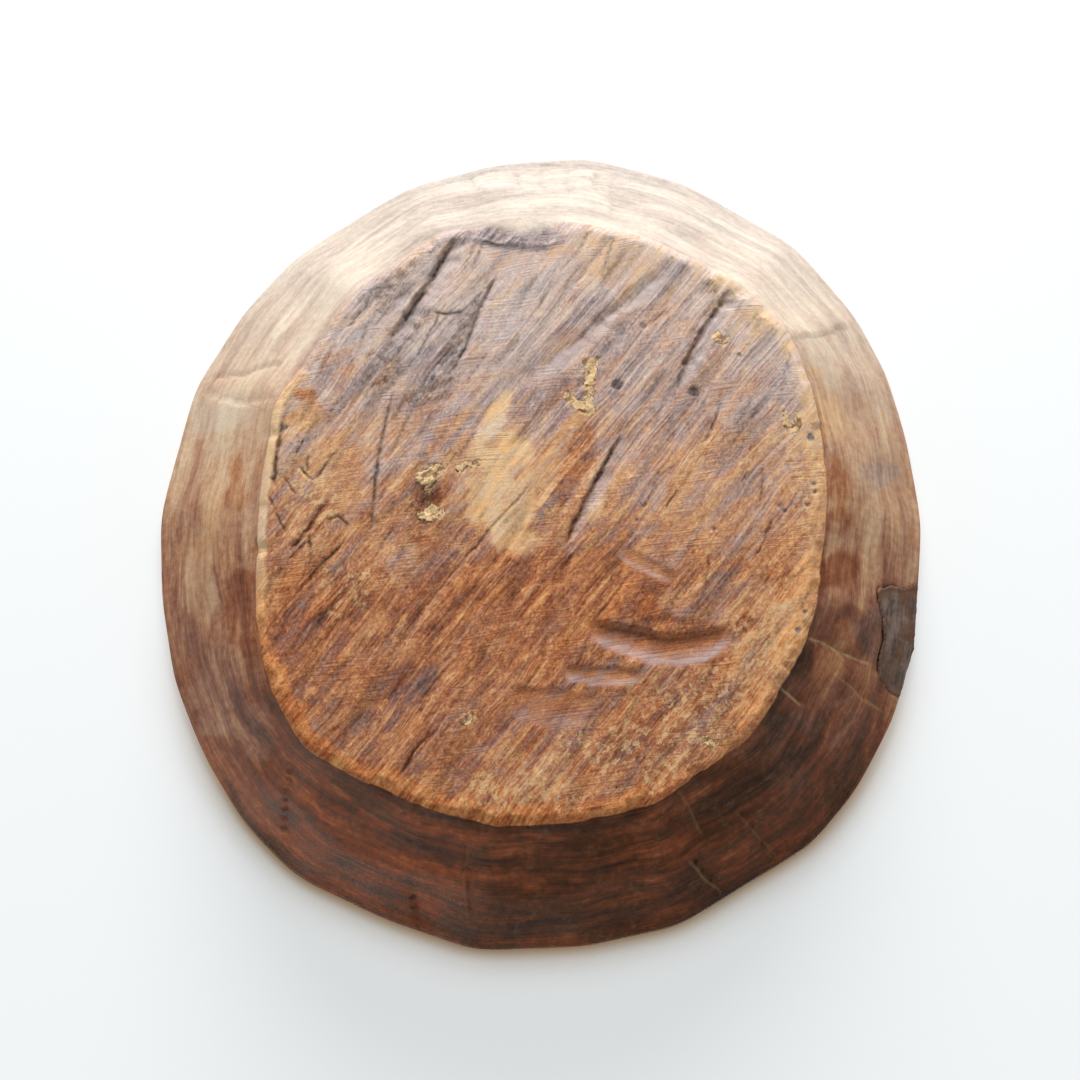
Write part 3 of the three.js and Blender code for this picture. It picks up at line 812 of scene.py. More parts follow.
def carve_foot(points, outlines):
    """Foot marks: depth behind its plane, painted shade and hole dust, wear, painted sheen, torn grain,
    level fibres.
    """
    pixels = to_photo(lifted(points))
    marks = {name: np.zeros(len(points)) for name in FOOT_MARKS}
    marks["depth"], marks["shade_and_dust"] = foot_strokes(points)
    ragged = 1.6 * (blotches(points, RAGGED_SIZE, SEEDS["ragged"], 4) - 0.5)
    along, across = turned(points, GRAIN_TURN)
    crumbs = fractal(along / CRUMB_SIZE[0], across / CRUMB_SIZE[1], SEEDS["crumbs"], 3)
    for oval in TORN:
        raise_to(marks, "torn", patch_weight(pixels, *oval, ragged))
    marks["depth"] += marks["torn"] * TORN_DEPTH * smoothstep(0.3, 0.75, crumbs)
    # Painted shade among the torn grain's crumbs, where they are cut deepest
    raise_to(marks, "shade_and_dust", 0.3 * marks["torn"] * smoothstep(0.5, 0.66, crumbs))
    carve_cuts(points, marks)
    carve_holes(points, crumbs, marks)
    for oval in CRUMBLING:
        raise_to(marks, "worn", 0.75 * patch_weight(pixels, *oval, ragged))
    carve_pits(points, outlines, crumbs, marks)
    return marks


def carve_cuts(points, marks):
    """The foot's single cuts: slanting ones are notched, and level ones are scooped out."""
    jitter = blotches(points, 2.4, SEEDS["jitter"], 3) - 0.5
    wobble = 0.7 + 0.6 * blotches(points, 4, SEEDS["wobble"], 1)
    patchy = 0.7 + 0.45 * smoothstep(0.3, 0.7, blotches(points, 3.3, SEEDS["patchy"], 1))
    for corners, steep, gentle, deep, sheen_weight, darkening in CUTS:
        distance, share = polyline_distance(points, on_foot(corners))
        ends = tapered(share, CUT_TAPER)
        run = np.subtract(corners[-1], corners[0])
        if abs(run[1]) < LEVEL_SLOPE * abs(run[0]):
            distance = distance + 0.8 * jitter
            reach = gentle * (0.2 + 0.8 * np.sqrt(4 * share * (1 - share))) * (0.7 + 0.3 * wobble)
            rise = np.clip(distance / reach, 0.0, 1.0)
            fall = np.where(distance < 0, 1 + distance / steep, 1 - rise ** 2)
            fall = np.clip(fall, 0.0, 1.0) * ends
            raise_to(marks, "level", smoothstep(0.0, 0.3, fall))
            # Painted sheen on the scooped floor, brightest towards its far edge
            gleam = smoothstep(0.3, 0.75, rise) * (1 - smoothstep(0.78, 1.0, rise)) * ends
            spread = np.where(distance > 0, 1 + deep / 2, 0.6)
        else:
            distance = distance + 1.3 * jitter
            ends = ends * patchy
            fall = np.where(distance < 0, 1 + distance / steep, 1 - distance / (gentle * wobble))
            fall = np.clip(fall, 0.0, 1.0) * ends
            # Painted sheen on the gentle slope
            gleam = smoothstep(0.0, 0.5, fall * (distance > 0))
            spread = 0.35 + 0.24 * deep
        raise_to(marks, "depth", deep * fall + marks["depth"] * (1 - fall))
        # Painted shade along the bottom of the cut; the painted sheen on its slope clears the painted
        # shade beneath it
        dark = np.exp(-(distance / spread) ** 2) * ends
        marks["shade_and_dust"] = marks["shade_and_dust"] * (1 - fall * sheen_weight)
        raise_to(marks, "shade_and_dust", 0.95 * darkening * dark)
        raise_to(marks, "shine", sheen_weight * gleam * (1 - darkening * dark))


def hole_radius(width):
    """Millimetres on the foot for half a width in photograph pixels."""
    return width / 2 * -CAMERA_PLACE[2] / FOCAL_PIXELS


def carve_holes(points, crumbs, marks):
    for across, down, width, dust_and_shade in HOLES:
        distance = np.linalg.norm(points - on_foot([(across, down)])[0], axis=1)
        hole = 1 - smoothstep(0.8, 1.15, distance / hole_radius(width) + 0.4 * (crumbs - 0.5))
        raise_to(marks, "depth", HOLE_DEPTH * dust_and_shade * hole)
        # Each hole is darkened for its dust and for the shade inside it, and the sheen mark gives the
        # dust its grey
        marks["shade_and_dust"] = marks["shade_and_dust"] * (1 - hole)
        raise_to(marks, "shade_and_dust", dust_and_shade * hole)
        raise_to(marks, "shine", hole)


def carve_pits(points, outlines, crumbs, marks):
    """Pits under the fillers, with a pale smear round them."""
    for outline in outlines:
        distance = np.abs(polyline_distance(points, closed_ring(outline))[0])
        distance = np.where(inside_polygon(points, outline), -distance, distance) - filler_fray(points)
        raise_to(marks, "depth", PIT_DEPTH * (1 - smoothstep(-0.5, -0.1, distance)))
        smear = np.exp(-(np.maximum(distance, 0) / SMEAR_WIDTH) ** 2)
        raise_to(marks, "worn", 0.9 * smear * smoothstep(0.42, 0.56, crumbs))
        marks["shade_and_dust"] = marks["shade_and_dust"] * (1 - 0.8 * smear)


def filler_fray(points):
    """How far a filler's edge strays outwards from the CAD's outline."""
    return FRAY * (blotches(points, FRAY_SIZE, SEEDS["fray"], 3) - 0.45)


def foot_points(edge, outlines):
    """Points to triangulate inside the foot's edge, closer together along cuts, holes and pits."""
    dense = []
    for corners, steep, gentle, *_ in CUTS:
        path = resampled(on_foot(corners), CUT_SPACING)
        step = np.gradient(path, axis=0)
        right = np.stack([-step[:, 1], step[:, 0]], axis=1) / np.linalg.norm(step, axis=1)[:, None]
        for offset in (-steep, -steep / 2, 0.0, gentle / 4, gentle / 2, gentle):
            dense.append(path + right * offset)
    turns = np.arange(HOLE_CORNERS) / HOLE_CORNERS * 2 * math.pi
    ring = np.stack([np.cos(turns), np.sin(turns)], axis=1)
    for across, down, width, _ in HOLES:
        place = on_foot([(across, down)])
        dense += [place] + [place + ring * hole_radius(width) * share for share in (0.7, 1.2)]
    for outline in outlines:
        path = resampled(closed_ring(outline), PIT_SPACING)
        away = path - outline.mean(axis=0)
        away /= np.linalg.norm(away, axis=1)[:, None]
        dense += [path + away * offset for offset in (0.2, 0.55)]
    draw = np.random.default_rng(SEEDS["grid"])
    grid = grid_over(edge, FOOT_SPACING)
    grid += draw.uniform(-0.25, 0.25, grid.shape) * FOOT_SPACING
    return within(np.vstack(dense + [grid]), edge, 0.5)


def carved_floor(edge, inside):
    """Places inside the last ring of the inside, and the points there on the gouged floor."""
    places = within(grid_over(edge, FLOOR_SPACING), edge, FLOOR_SPACING / 2)
    points = cast(cad_tree(["bowl_body"]), lifted(places, RAY_START), np.tile(-UP, (len(places), 1)))
    scoop, _ = tool_cuts(np.vstack([inside, points]), GOUGE)
    points[:, 2] -= scoop[len(inside):]
    return places, points


def inset(points, edge):
    """How far points lie inside a ring, towards its middle, and their turn in degrees."""
    middle = edge.mean(axis=0)
    ring = edge - middle
    offset = points - middle
    turns = np.arctan2(offset[:, 1], offset[:, 0])
    ring_turns = np.arctan2(ring[:, 1], ring[:, 0])
    order = np.argsort(ring_turns)
    reach = np.linalg.norm(ring, axis=1)[order]
    limit = np.interp(turns, ring_turns[order], reach, period=2 * math.pi)
    return limit - np.linalg.norm(offset, axis=1), np.degrees(turns)


def grid_over(edge, spacing):
    """A square grid of points over a ring's box."""
    spans = zip(edge.min(axis=0), edge.max(axis=0))
    x, y = np.meshgrid(*(np.arange(low, high, spacing) for low, high in spans))
    return np.stack([x.ravel(), y.ravel()], axis=1)


def within(points, edge, margin):
    """Points inside a ring by the margin, thinned so that no two share a cell of the least spacing."""
    kept = points[inset(points, edge)[0] > margin]
    _, first = np.unique(np.round(kept / LEAST_SPACING).astype(int), axis=0, return_index=True)
    return kept[np.sort(first)]


def closed_ring(outline):
    return np.vstack([outline, outline[:1]])


def resampled(path, spacing):
    lengths = np.linalg.norm(np.diff(path, axis=0), axis=1)
    walked = np.concatenate([[0.0], np.cumsum(lengths)])
    places = np.linspace(0.0, walked[-1], max(2, int(walked[-1] / spacing)))
    return np.stack([np.interp(places, walked, path[:, k]) for k in (0, 1)], axis=1)


def triangulated(edge, points):
    """Triangles that fill a ring, as indices into the ring's points followed by the others."""
    together = [Vector(p) for p in np.vstack([edge, points])]
    ring = list(range(len(edge)))
    _, _, faces, origins, _, _ = delaunay_2d_cdt(together, [], [ring], 1, 1e-5)
    source = [o[0] for o in origins]
    return [[source[i] for i in face] for face in faces]


def cad_outline(name):
    """Outline of a CAD node's lowest face, in millimetres."""
    work = bmesh.new()
    work.from_mesh(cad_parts[name].data)
    bmesh.ops.remove_doubles(work, verts=work.verts, dist=1e-6)
    low = min(v.co.z for v in work.verts)
    flat = {f for f in work.faces if all(v.co.z < low + 1e-5 for v in f.verts)}
    border = [e for e in work.edges if sum(f in flat for f in e.link_faces) == 1]
    start = border[0].verts[0]
    loop, edge, vert = [start], border[0], border[0].verts[1]
    while vert != start:
        loop.append(vert)
        edge = next(e for e in vert.link_edges if e in border and e != edge)
        vert = edge.other_vert(vert)
    outline = np.array([[v.co.x, v.co.y] for v in loop]) / MM
    work.free()
    return outline


# Paint: tone and warmth at each point, painted light and shade among them, which the wood's nodes then
# grain

def patch_weight(pixels, across, down, half_width, half_height, turn, ragged):
    """1 in the middle of a slanting oval patch, 0 outside it, with a ragged edge."""
    along, aside = turned(pixels - [across, down], turn)
    reach = np.hypot(along / half_width, aside / half_height) + ragged
    return 1 - smoothstep(0.55, 1.05, reach)


def tone_and_light_of(pixels, shades, patches, seed):
    """Tone and warmth of points from their photograph row and the patches that lie over them."""
    ragged = 1.4 * (blotches(pixels, PATCH_RAGGED_SIZE, seed, 5) - 0.5)
    levels, shade_tones, shade_warmths = zip(*shades)
    tones = np.interp(pixels[:, 1], levels, shade_tones)
    warmths = np.interp(pixels[:, 1], levels, shade_warmths)
    for *oval, patch_tone, patch_warmth, strength in patches:
        weight = strength * patch_weight(pixels, *oval, ragged)
        tones += (patch_tone - tones) * weight
        warmths += (patch_warmth - warmths) * weight
    return tones, warmths


def edge_finish(points, edge, tones, warmths):
    """Tone and warmth of the foot with the rubbed band along its edge."""
    gap, turns = inset(points, edge)
    places, *kinds = zip(*FOOT_EDGE)
    edge_tone, edge_warmth, strength, reach = (np.interp(turns, places, k, period=360) for k in kinds)
    fray = blotches(points, EDGE_RAGGED_SIZE, SEEDS["edge"], 4) - 0.5
    share = strength * (1 - smoothstep(0.3, 1.0, gap / reach + 1.5 * fray))
    return tones + (edge_tone - tones) * share, warmths + (edge_warmth - warmths) * share


def bowl_tone_and_light(corners, edge, lip_end, foot_part):
    """Tone and warmth of the bowl's points, and which of them show foot or hollow."""
    pixels = to_photo(corners)
    tone = np.full(len(corners), INSIDE_TONE)
    warmth = np.full(len(corners), INSIDE_WARMTH)
    hollow = np.ones(len(corners))
    outer = slice(0, lip_end * COLUMNS)
    tone[outer], warmth[outer] = tone_and_light_of(pixels[outer], *WALL_TONE_AND_LIGHT)
    _, turn = inset(corners[outer, :2], edge)
    # Painted shade on the wall just under the foot's edge
    tone[outer] *= 1 - np.interp(turn, *zip(*UNDER_EDGE)) * np.exp(-corners[outer, 2] / UNDER_REACH)
    hollow[outer] = 0.0
    lip = slice(lip_end * COLUMNS, (lip_end + INSIDE_FADE) * COLUMNS)
    fade = np.repeat(1 - smoothstep(0, INSIDE_FADE, np.arange(INSIDE_FADE)), COLUMNS)
    lip_tone, lip_warmth = tone_and_light_of(pixels[lip], *WALL_TONE_AND_LIGHT)
    tone[lip] += (lip_tone - INSIDE_TONE) * fade
    warmth[lip] += (lip_warmth - INSIDE_WARMTH) * fade
    hollow[lip] = 1 - fade
    foot = np.zeros(len(corners), bool)
    foot[foot_part] = True
    foot[:PAINTED_EDGE_ROWS * COLUMNS] = True
    foot_tone_and_light = tone_and_light_of(pixels[foot], *FOOT_TONE_AND_LIGHT)
    tone[foot], warmth[foot] = edge_finish(corners[foot, :2], edge, *foot_tone_and_light)
    hollow[foot] = 0.0
    return {"tone": tone, "warmth": warmth, "foot": foot * 1.0, "hollow": hollow}


def build_bowl(wood):
    """The carved block as one closed mesh with its marks."""
    outlines = [cad_outline(n) for n in FILLERS]
    plain, outer = shell_rows(cad_tree(["bowl_body", "bark_remnant"]), cad_tree(["bowl_body"]))
    lip_end = outer + LIP_ROWS
    rows, worn, shade_and_dust = carve_shell(plain, outer)

    edge = rows[0, :, :2]
    foot = foot_points(edge, outlines)
    carved = carve_foot(np.vstack([edge, foot]), outlines)
    for k in range(EDGE_ROWS):
        cut = carved["depth"][:COLUMNS] * (1 - k / EDGE_ROWS) + 0.12 * k
        rows[k, :, 2] = np.maximum(rows[k, :, 2], cut)
    foot_depth = np.maximum(carved["depth"][COLUMNS:], LEAST_FOOT_DEPTH)
    floor_edge = rows[-1, :, :2]
    floor, floor_points = carved_floor(floor_edge, plain[lip_end:].reshape(-1, 3))

    shell = rows.reshape(-1, 3)
    corners = np.vstack([shell, np.hstack([foot, foot_depth[:, None]]), floor_points])
    foot_part = slice(len(shell), len(shell) + len(foot))
    faces = grid_faces(len(rows))
    faces += remapped(triangulated(edge, foot), 0, foot_part.start)
    faces += remapped(triangulated(floor_edge, floor), (len(rows) - 1) * COLUMNS, foot_part.stop)

    marks = bowl_tone_and_light(corners, edge, lip_end, foot_part)
    for name in FOOT_MARKS:
        marks[name] = np.zeros(len(corners))
        marks[name][foot_part] = carved[name][COLUMNS:]
    marks["worn"][:len(shell)] = worn.ravel()
    marks["shade_and_dust"][:len(shell)] = shade_and_dust.ravel()
    piece = mesh_object("bowl_wood", corners, faces, wood)
    for name in MARKS:
        attribute(piece, name, marks[name])
    return piece


def grid_faces(row_count):
    faces = []
    for r in range(row_count - 1):
        for c in range(COLUMNS):
            a = r * COLUMNS + c
            b = r * COLUMNS + (c + 1) % COLUMNS
            faces.append((a, b, b + COLUMNS, a + COLUMNS))
    return faces


def remapped(faces, ring_start, inner_start):
    """Triangles of a filled ring with the bowl's own point numbers."""
    return [
        [ring_start + i if i < COLUMNS else inner_start + i - COLUMNS for i in face]
        for face in faces
    ]


def added(name, data):
    """A new object in the scene."""
    made = bpy.data.objects.new(name, data)
    bpy.context.scene.collection.objects.link(made)
    return made


def mesh_object(name, corners, faces, material):
    mesh = bpy.data.meshes.new(name)
    mesh.from_pydata((np.asarray(corners) * MM).tolist(), [], faces)
    work = bmesh.new()
    work.from_mesh(mesh)
    bmesh.ops.recalc_face_normals(work, faces=work.faces)
    work.to_mesh(mesh)
    work.free()
    mesh.shade_smooth()
    mesh.materials.append(material)
    return added(name, mesh)


def attribute(piece, name, values):
    """Gives each point of a piece a value that its material reads."""
    made = piece.data.attributes.new(name, "FLOAT", "POINT")
    made.data.foreach_set("value", values.astype(np.float32))


# Materials

class Nodes:
    """The nodes of a material or world under construction."""

    def __init__(self, owner):
        owner.use_nodes = True
        self.owner = owner
        self.tree = owner.node_tree
        self.surface = self.tree.nodes.get("Principled BSDF")

    def add(self, kind, inputs=None, output=0, **settings):
        node = self.tree.nodes.new(kind)
        for key, value in settings.items():
            setattr(node, key, value)
        self.feed(node, inputs or {})
        return node.outputs[output]

    def feed(self, node, inputs):
        for key, value in inputs.items():
            if isinstance(value, bpy.types.NodeSocket):
                self.tree.links.new(value, node.inputs[key])
            else:
                node.inputs[key].default_value = value

    def value(self, name):
        return self.add("ShaderNodeAttribute", output="Fac", attribute_name=name)

    def ramp(self, value, stops):
        """Colours from stops of a place from 0 to 1 and a colour out of 255."""
        colours = self.add("ShaderNodeValToRGB", {0: value}).node
        for place, _ in stops[1:-1]:
            colours.color_ramp.elements.new(place)
        for element, (place, colour) in zip(colours.color_ramp.elements, stops):
            element.position = place
            element.color = linear(colour)
        return colours.outputs[0]

    def math(self, operation, a, b=0.0, c=0.0):
        return self.add("ShaderNodeMath", {0: a, 1: b, 2: c}, operation=operation)

    def times(self, a, b):
        return self.math("MULTIPLY", a, b)

    def rest(self, share):
        return self.math("SUBTRACT", 1.0, share)

    def vector(self, operation, a, b=(0.0, 0.0, 0.0), output=0):
        return self.add("ShaderNodeVectorMath", {0: a, 1: b}, output, operation=operation)

    def swings(self, *parts):
        """Sum of noises about their middle, from pairs of a noise and its weight."""
        total = 0.0
        for noise, weight in parts:
            total = self.math("MULTIPLY_ADD", self.math("SUBTRACT", noise, 0.5), weight, total)
        return total

    def mix(self, share, a, b, blend="MIX"):
        return self.add(
            "ShaderNodeMix", {0: share, 6: a, 7: b}, output=2, data_type="RGBA", blend_type=blend
        )

    def blend(self, share, a, b):
        return self.add("ShaderNodeMix", {0: share, 2: a, 3: b}, data_type="FLOAT")

    def range(self, value, low, high, start=0.0, end=1.0):
        inputs = {"Value": value, "From Min": low, "From Max": high, "To Min": start, "To Max": end}
        return self.add("ShaderNodeMapRange", inputs, interpolation_type="SMOOTHSTEP")

    def warped(self, reach, size):
        """Object coordinates pushed about by soft noise of that reach and size, in metres."""
        place = self.add("ShaderNodeTexCoord", output="Object")
        inputs = {"Vector": place, "Scale": 1 / size, "Detail": 2.0}
        push = self.vector("SUBTRACT", self.add("ShaderNodeTexNoise", inputs, output=1), (0.5, 0.5, 0.5))
        return self.vector("ADD", place, self.vector("MULTIPLY", push, (reach, reach, reach)))

    def streaks(self, place, turn, sizes, detail=5.0, rough=0.62):
        """Noise drawn out along a direction that rises to the photograph's right, sizes in metres."""
        inputs = {"Vector": place, "Angle": math.radians(turn)}
        level = self.add("ShaderNodeVectorRotate", inputs, rotation_type="Z_AXIS")
        scaled = self.vector("MULTIPLY", level, tuple(1 / s for s in sizes))
        inputs = {"Vector": scaled, "Scale": 1.0, "Detail": detail, "Roughness": rough}
        return self.add("ShaderNodeTexNoise", inputs)

    def crease(self, place, start, end, facing):
        """1 on a straight line over a surface that faces that way, 0 beside and past it, in metres."""
        run = end - start
        aside = np.cross(facing, run) / np.linalg.norm(run)
        offset = self.vector("SUBTRACT", place, tuple(start))
        axes = (run / (run @ run), aside, facing)
        along, across, above = (self.vector("DOT_PRODUCT", offset, tuple(a), "Value") for a in axes)
        ends = self.math("ABSOLUTE", self.math("SUBTRACT", along, 0.5))
        line = self.range(self.math("ABSOLUTE", across), 0.0, CREASE_WIDTH, 1.0, 0.0)
        line = self.times(line, self.range(ends, 0.35, 0.5, 1.0, 0.0))
        return self.times(line, self.range(self.math("ABSOLUTE", above), *CREASE_LIFT, 1.0, 0.0))

    def finished(self, colour, dull, *heights):
        """The material, with relief from pairs of a height and its depth in metres."""
        relief = {}
        for height, depth in heights:
            inputs = {"Height": height, "Distance": depth, "Strength": 1.0, **relief}
            relief = {"Normal": self.add("ShaderNodeBump", inputs)}
        self.feed(self.surface, {"Base Color": colour, "Roughness": dull, "IOR": WOOD_IOR, **relief})
        return self.owner


def wall_creases():
    """Ends in metres, facing and paleness of the straight worn edges on the wall."""
    tree = cad_tree(["bowl_body"])
    creases = []
    for corners, _, pale in WALL_STEPS:
        if pale > 0:
            rays = photo_rays([corners[0], corners[-1]])
            start, end = cast(tree, np.tile(CAMERA_PLACE, (2, 1)), rays) * MM
            facing = np.array(tree.ray_cast(Vector(CAMERA_PLACE), Vector(rays.mean(axis=0)))[1])
            run = end - start
            facing -= run * (facing @ run) / (run @ run)
            creases.append((start, end, facing / np.linalg.norm(facing), pale))
    return creases


def wood_material():
    make = Nodes(bpy.data.materials.new("hewn_wood"))
    tone, base_warmth, worn, shade_and_dust, shine, torn, level, foot, hollow = (make.value(m) for m in MARKS)
    place = make.warped(reach=0.010, size=0.06)
    curved = make.warped(reach=0.012, size=0.04)

    # Grain of the foot: slanting chisel lines, level fibres in some zones and cuts, stains and speckles
    smooth = make.range(base_warmth, -0.1, -0.6)
    bands = make.range(make.streaks(place, 50, (0.075, 0.006, 0.03), 6.0, 0.62), 0.42, 0.58)
    stain = make.range(make.streaks(curved, 42, (0.016, 0.007, 0.008), 9.0, 0.70), 0.43, 0.58)
    mottle = make.streaks(curved, 46, (0.006, 0.003, 0.005), 8.0, 0.74)
    crumbs = make.streaks(place, 50, (0.0014, 0.0010, 0.0012), 4.0, 0.75)
    zones = make.streaks(place, 30, (0.036, 0.024, 0.03), 3.0)
    slanting = make.times(make.range(zones, 0.40, 0.54), make.rest(level))
    ribs = make.streaks(place, 51, (0.055, 0.0024, 0.03), 4.0, 0.6)
    scores = make.streaks(place, 52, (0.05, 0.0010, 0.03), 3.0, 0.6)
    lines = make.streaks(place, 7, (0.03, 0.0008, 0.03), 3.0, 0.6)
    flakes = make.streaks(place, 50, (0.0036, 0.0024, 0.003), 7.0, 0.75)
    fleck = make.range(flakes, 0.52, 0.62, 0.5, 1.0)
    pits = make.streaks(place, 51, (0.0050, 0.0016, 0.003), 6.0, 0.75)
    foot_grain = make.swings(
        (bands, make.times(slanting, 0.14)),
        (stain, make.blend(smooth, 0.17, 0.09)),
        (mottle, 0.5),
        (crumbs, make.blend(smooth, 0.9, 0.8)),
        (fleck, 0.30),
        (make.range(pits, 0.55, 0.66, 0.5, 0.0), 0.36),
        (ribs, make.times(slanting, 0.65)),
        (scores, make.times(slanting, make.blend(smooth, 0.8, 1.1))),
        (lines, make.times(make.rest(slanting), 0.55)),
    )
    foot_grain = make.times(foot_grain, make.range(level, 0.0, 1.0, 1.0, 0.6))

    # Grain of the wall, which lies level, and of the hollow, which runs along the block
    cloud = make.streaks(curved, 0, (0.065, 0.065, 0.013), 9.0, 0.70)
    blots = make.range(make.streaks(curved, 0, (0.028, 0.028, 0.009), 8.0, 0.68), 0.43, 0.58)
    layers = make.streaks(place, 0, (0.07, 0.07, 0.0026), 4.0)
    fibres = make.streaks(place, 0, (0.02, 0.02, 0.0009), 3.0)
    hacks = make.streaks(place, 0, (0.0026, 0.0026, 0.04), 4.0)
    wall_grain = make.swings((cloud, 1.5), (blots, 0.13), (layers, 0.4), (fibres, 0.35), (hacks, 0.5))
    wall_grain = make.times(wall_grain, make.range(base_warmth, -1.2, -0.4, 0.7, 1.0))
    rings = make.streaks(curved, 4, (0.16, 0.008, 0.008), 6.0, 0.6)
    strands = make.streaks(place, 4, (0.07, 0.0013, 0.0013), 4.0, 0.6)
    hollow_grain = make.swings((rings, 0.7), (strands, 0.5), (crumbs, 0.25))
    grain = make.blend(hollow, make.blend(foot, wall_grain, foot_grain), hollow_grain)
    swing = make.times(grain, make.range(tone, 0.6, 1.0, 0.9, 0.5))
    colour = make.ramp(make.math("ADD", tone, swing), WOOD_TONES)

    # Warmth, which drifts with the grain, from grey to orange. The grey is painted glare on the wall's
    # top side and painted sheen over the foot's upper part, and greys a few patches of the wood itself
    hues = make.streaks(curved, 44, (0.014, 0.007, 0.012), 6.0, 0.7)
    foot_drift = make.swings((hues, 1.2), (bands, 0.4), (stain, 0.5), (fleck, 0.7))
    drift = make.blend(foot, make.swings((hues, make.blend(hollow, 1.0, 0.4))), foot_drift)
    drift = make.times(drift, make.range(base_warmth, -0.9, 0.1, 0.5, 1.0))
    warmth = make.math("ADD", drift, base_warmth)
    orange = make.mix(1.0, colour, ORANGE_TINT, "MULTIPLY")
    colour = make.mix(make.range(warmth, 0.0, 1.0), colour, orange)
    greyed = make.add("ShaderNodeHueSaturation", {"Saturation": GREY_SATURATION, "Color": colour})
    grey = make.mix(1.0, greyed, make.mix(foot, WALL_GREY, FOOT_GREY), "MULTIPLY")
    colour = make.mix(make.range(warmth, 0.1, -1.3), colour, grey)

    # Wear on crests and creases, painted sheen on the cuts' slopes, then painted shade in cuts, grooves,
    # steps and torn grain, and the holes' dust
    rub = make.times(worn, make.range(flakes, 0.49, 0.60))
    for start, end, facing, pale in wall_creases():
        edge = make.crease(place, start, end, facing)
        edge = make.times(edge, make.range(crumbs, 0.3, 0.6, 0.3 * pale, 1.1 * pale))
        rub = make.math("MAXIMUM", rub, edge)
    colour = make.mix(rub, colour, linear("straw"))
    # Painted sheen on cut slopes, in lavender; in the holes the same mark greys the dust
    fibre = make.blend(level, scores, lines)
    gleam = make.times(shine, make.range(fibre, 0.35, 0.65, 0.35, 0.8))
    colour = make.mix(gleam, colour, linear("sheen_and_dust_lavender"))
    grit = make.streaks(place, 52, (0.0022, 0.0011, 0.002), 6.0, 0.8)
    # Painted shade in the torn grain's pits
    broken = make.times(torn, make.range(grit, 0.50, 0.60, 0.0, 0.55))
    darkening = make.times(shade_and_dust, make.range(crumbs, 0.3, 0.6, 1.0, 0.7))
    colour = make.mix(make.math("MAXIMUM", darkening, broken), colour, linear("shade_and_dust_brown"))

    dull = make.blend(shine, make.range(grain, -0.3, 0.3, 0.52, 0.68), 0.4)
    relief = make.blend(foot, make.blend(hollow, layers, strands), make.blend(slanting, lines, ribs))
    rough = make.blend(torn, make.times(crumbs, 0.3), make.rest(grit))
    return make.finished(colour, dull, (relief, RELIEF["grain"]), (rough, RELIEF["grit"]))


def filler_material():
    make = Nodes(bpy.data.materials.new("pale_filler"))
    place = make.warped(reach=0.004, size=0.01)
    crumbs = make.streaks(place, 20, (0.0022, 0.0016, 0.002), 5.0)
    tone = make.range(crumbs, 0.42, 0.68)
    colour = make.mix(tone, linear("straw"), linear("cream"))
    specks = make.streaks(place, 60, (0.0016, 0.0012, 0.0016), 4.0, 0.7)
    colour = make.mix(make.range(specks, 0.52, 0.68, 0.0, 0.85), colour, linear("tan"))
    stains = make.streaks(place, 40, (0.0042, 0.003, 0.004), 6.0, 0.7)
    colour = make.mix(make.range(stains, 0.50, 0.57, 0.0, 0.85), colour, linear("umber"))
    return make.finished(colour, make.range(tone, 0, 1, 0.7, 0.9), (crumbs, RELIEF["filler"]))


def bark_material():
    make = Nodes(bpy.data.materials.new("weathered_bark"))
    place = make.warped(reach=0.008, size=0.02)
    fibre = make.streaks(place, 84, (0.014, 0.0014, 0.012), 7.0, 0.7)
    blots = make.streaks(place, 60, (0.012, 0.008, 0.012), 6.0, 0.66)
    tone = make.range(make.math("MULTIPLY_ADD", blots, 0.6, make.times(fibre, 0.4)), 0.41, 0.58)
    colour = make.mix(tone, BARK_DARK, linear("slate"))
    warm = make.streaks(place, 60, (0.02, 0.012, 0.02), 4.0)
    colour = make.mix(make.range(warm, 0.42, 0.62, 0.0, 0.65), colour, linear("umber"))
    colour = make.mix(make.times(make.value("rim"), 0.85), colour, linear("bast"))
    return make.finished(colour, make.range(tone, 0, 1, 0.75, 0.9), (fibre, RELIEF["bark"]))


# Fillers and bark: the CAD solid remeshed finely, then roughened

def remeshed(node, voxel):
    """Points, normals and faces of a CAD node rebuilt from voxels, in millimetres."""
    source = added("remesh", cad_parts[node].data.copy())
    remesh = source.modifiers.new("remesh", "REMESH")
    remesh.mode = "VOXEL"
    remesh.voxel_size = voxel * MM
    shown = source.evaluated_get(bpy.context.evaluated_depsgraph_get())
    mesh = shown.to_mesh()
    corners = np.array([v.co for v in mesh.vertices]) / MM
    normals = np.array([v.normal for v in mesh.vertices])
    faces = [tuple(p.vertices) for p in mesh.polygons]
    shown.to_mesh_clear()
    bpy.data.objects.remove(source)
    return corners, normals, faces


def build_filler(node, seed, material):
    corners, normals, faces = remeshed(node, FILLER_VOXEL)
    corners[:, :2] += normals[:, :2] * (filler_fray(corners[:, :2]) + FILLER_SPREAD)[:, None]
    lump = blotches(corners, LUMP_SIZE, seed, 3) - 0.5
    face = carve_foot(corners[:, :2], [])["depth"] - 0.1 + FILLER_LUMP * lump
    corners[:, 2] = np.maximum(corners[:, 2] - FILLER_RAISE, np.maximum(face, LEAST_FILLER_DEPTH))
    return mesh_object(node.replace("filler", "putty"), corners, faces, material)


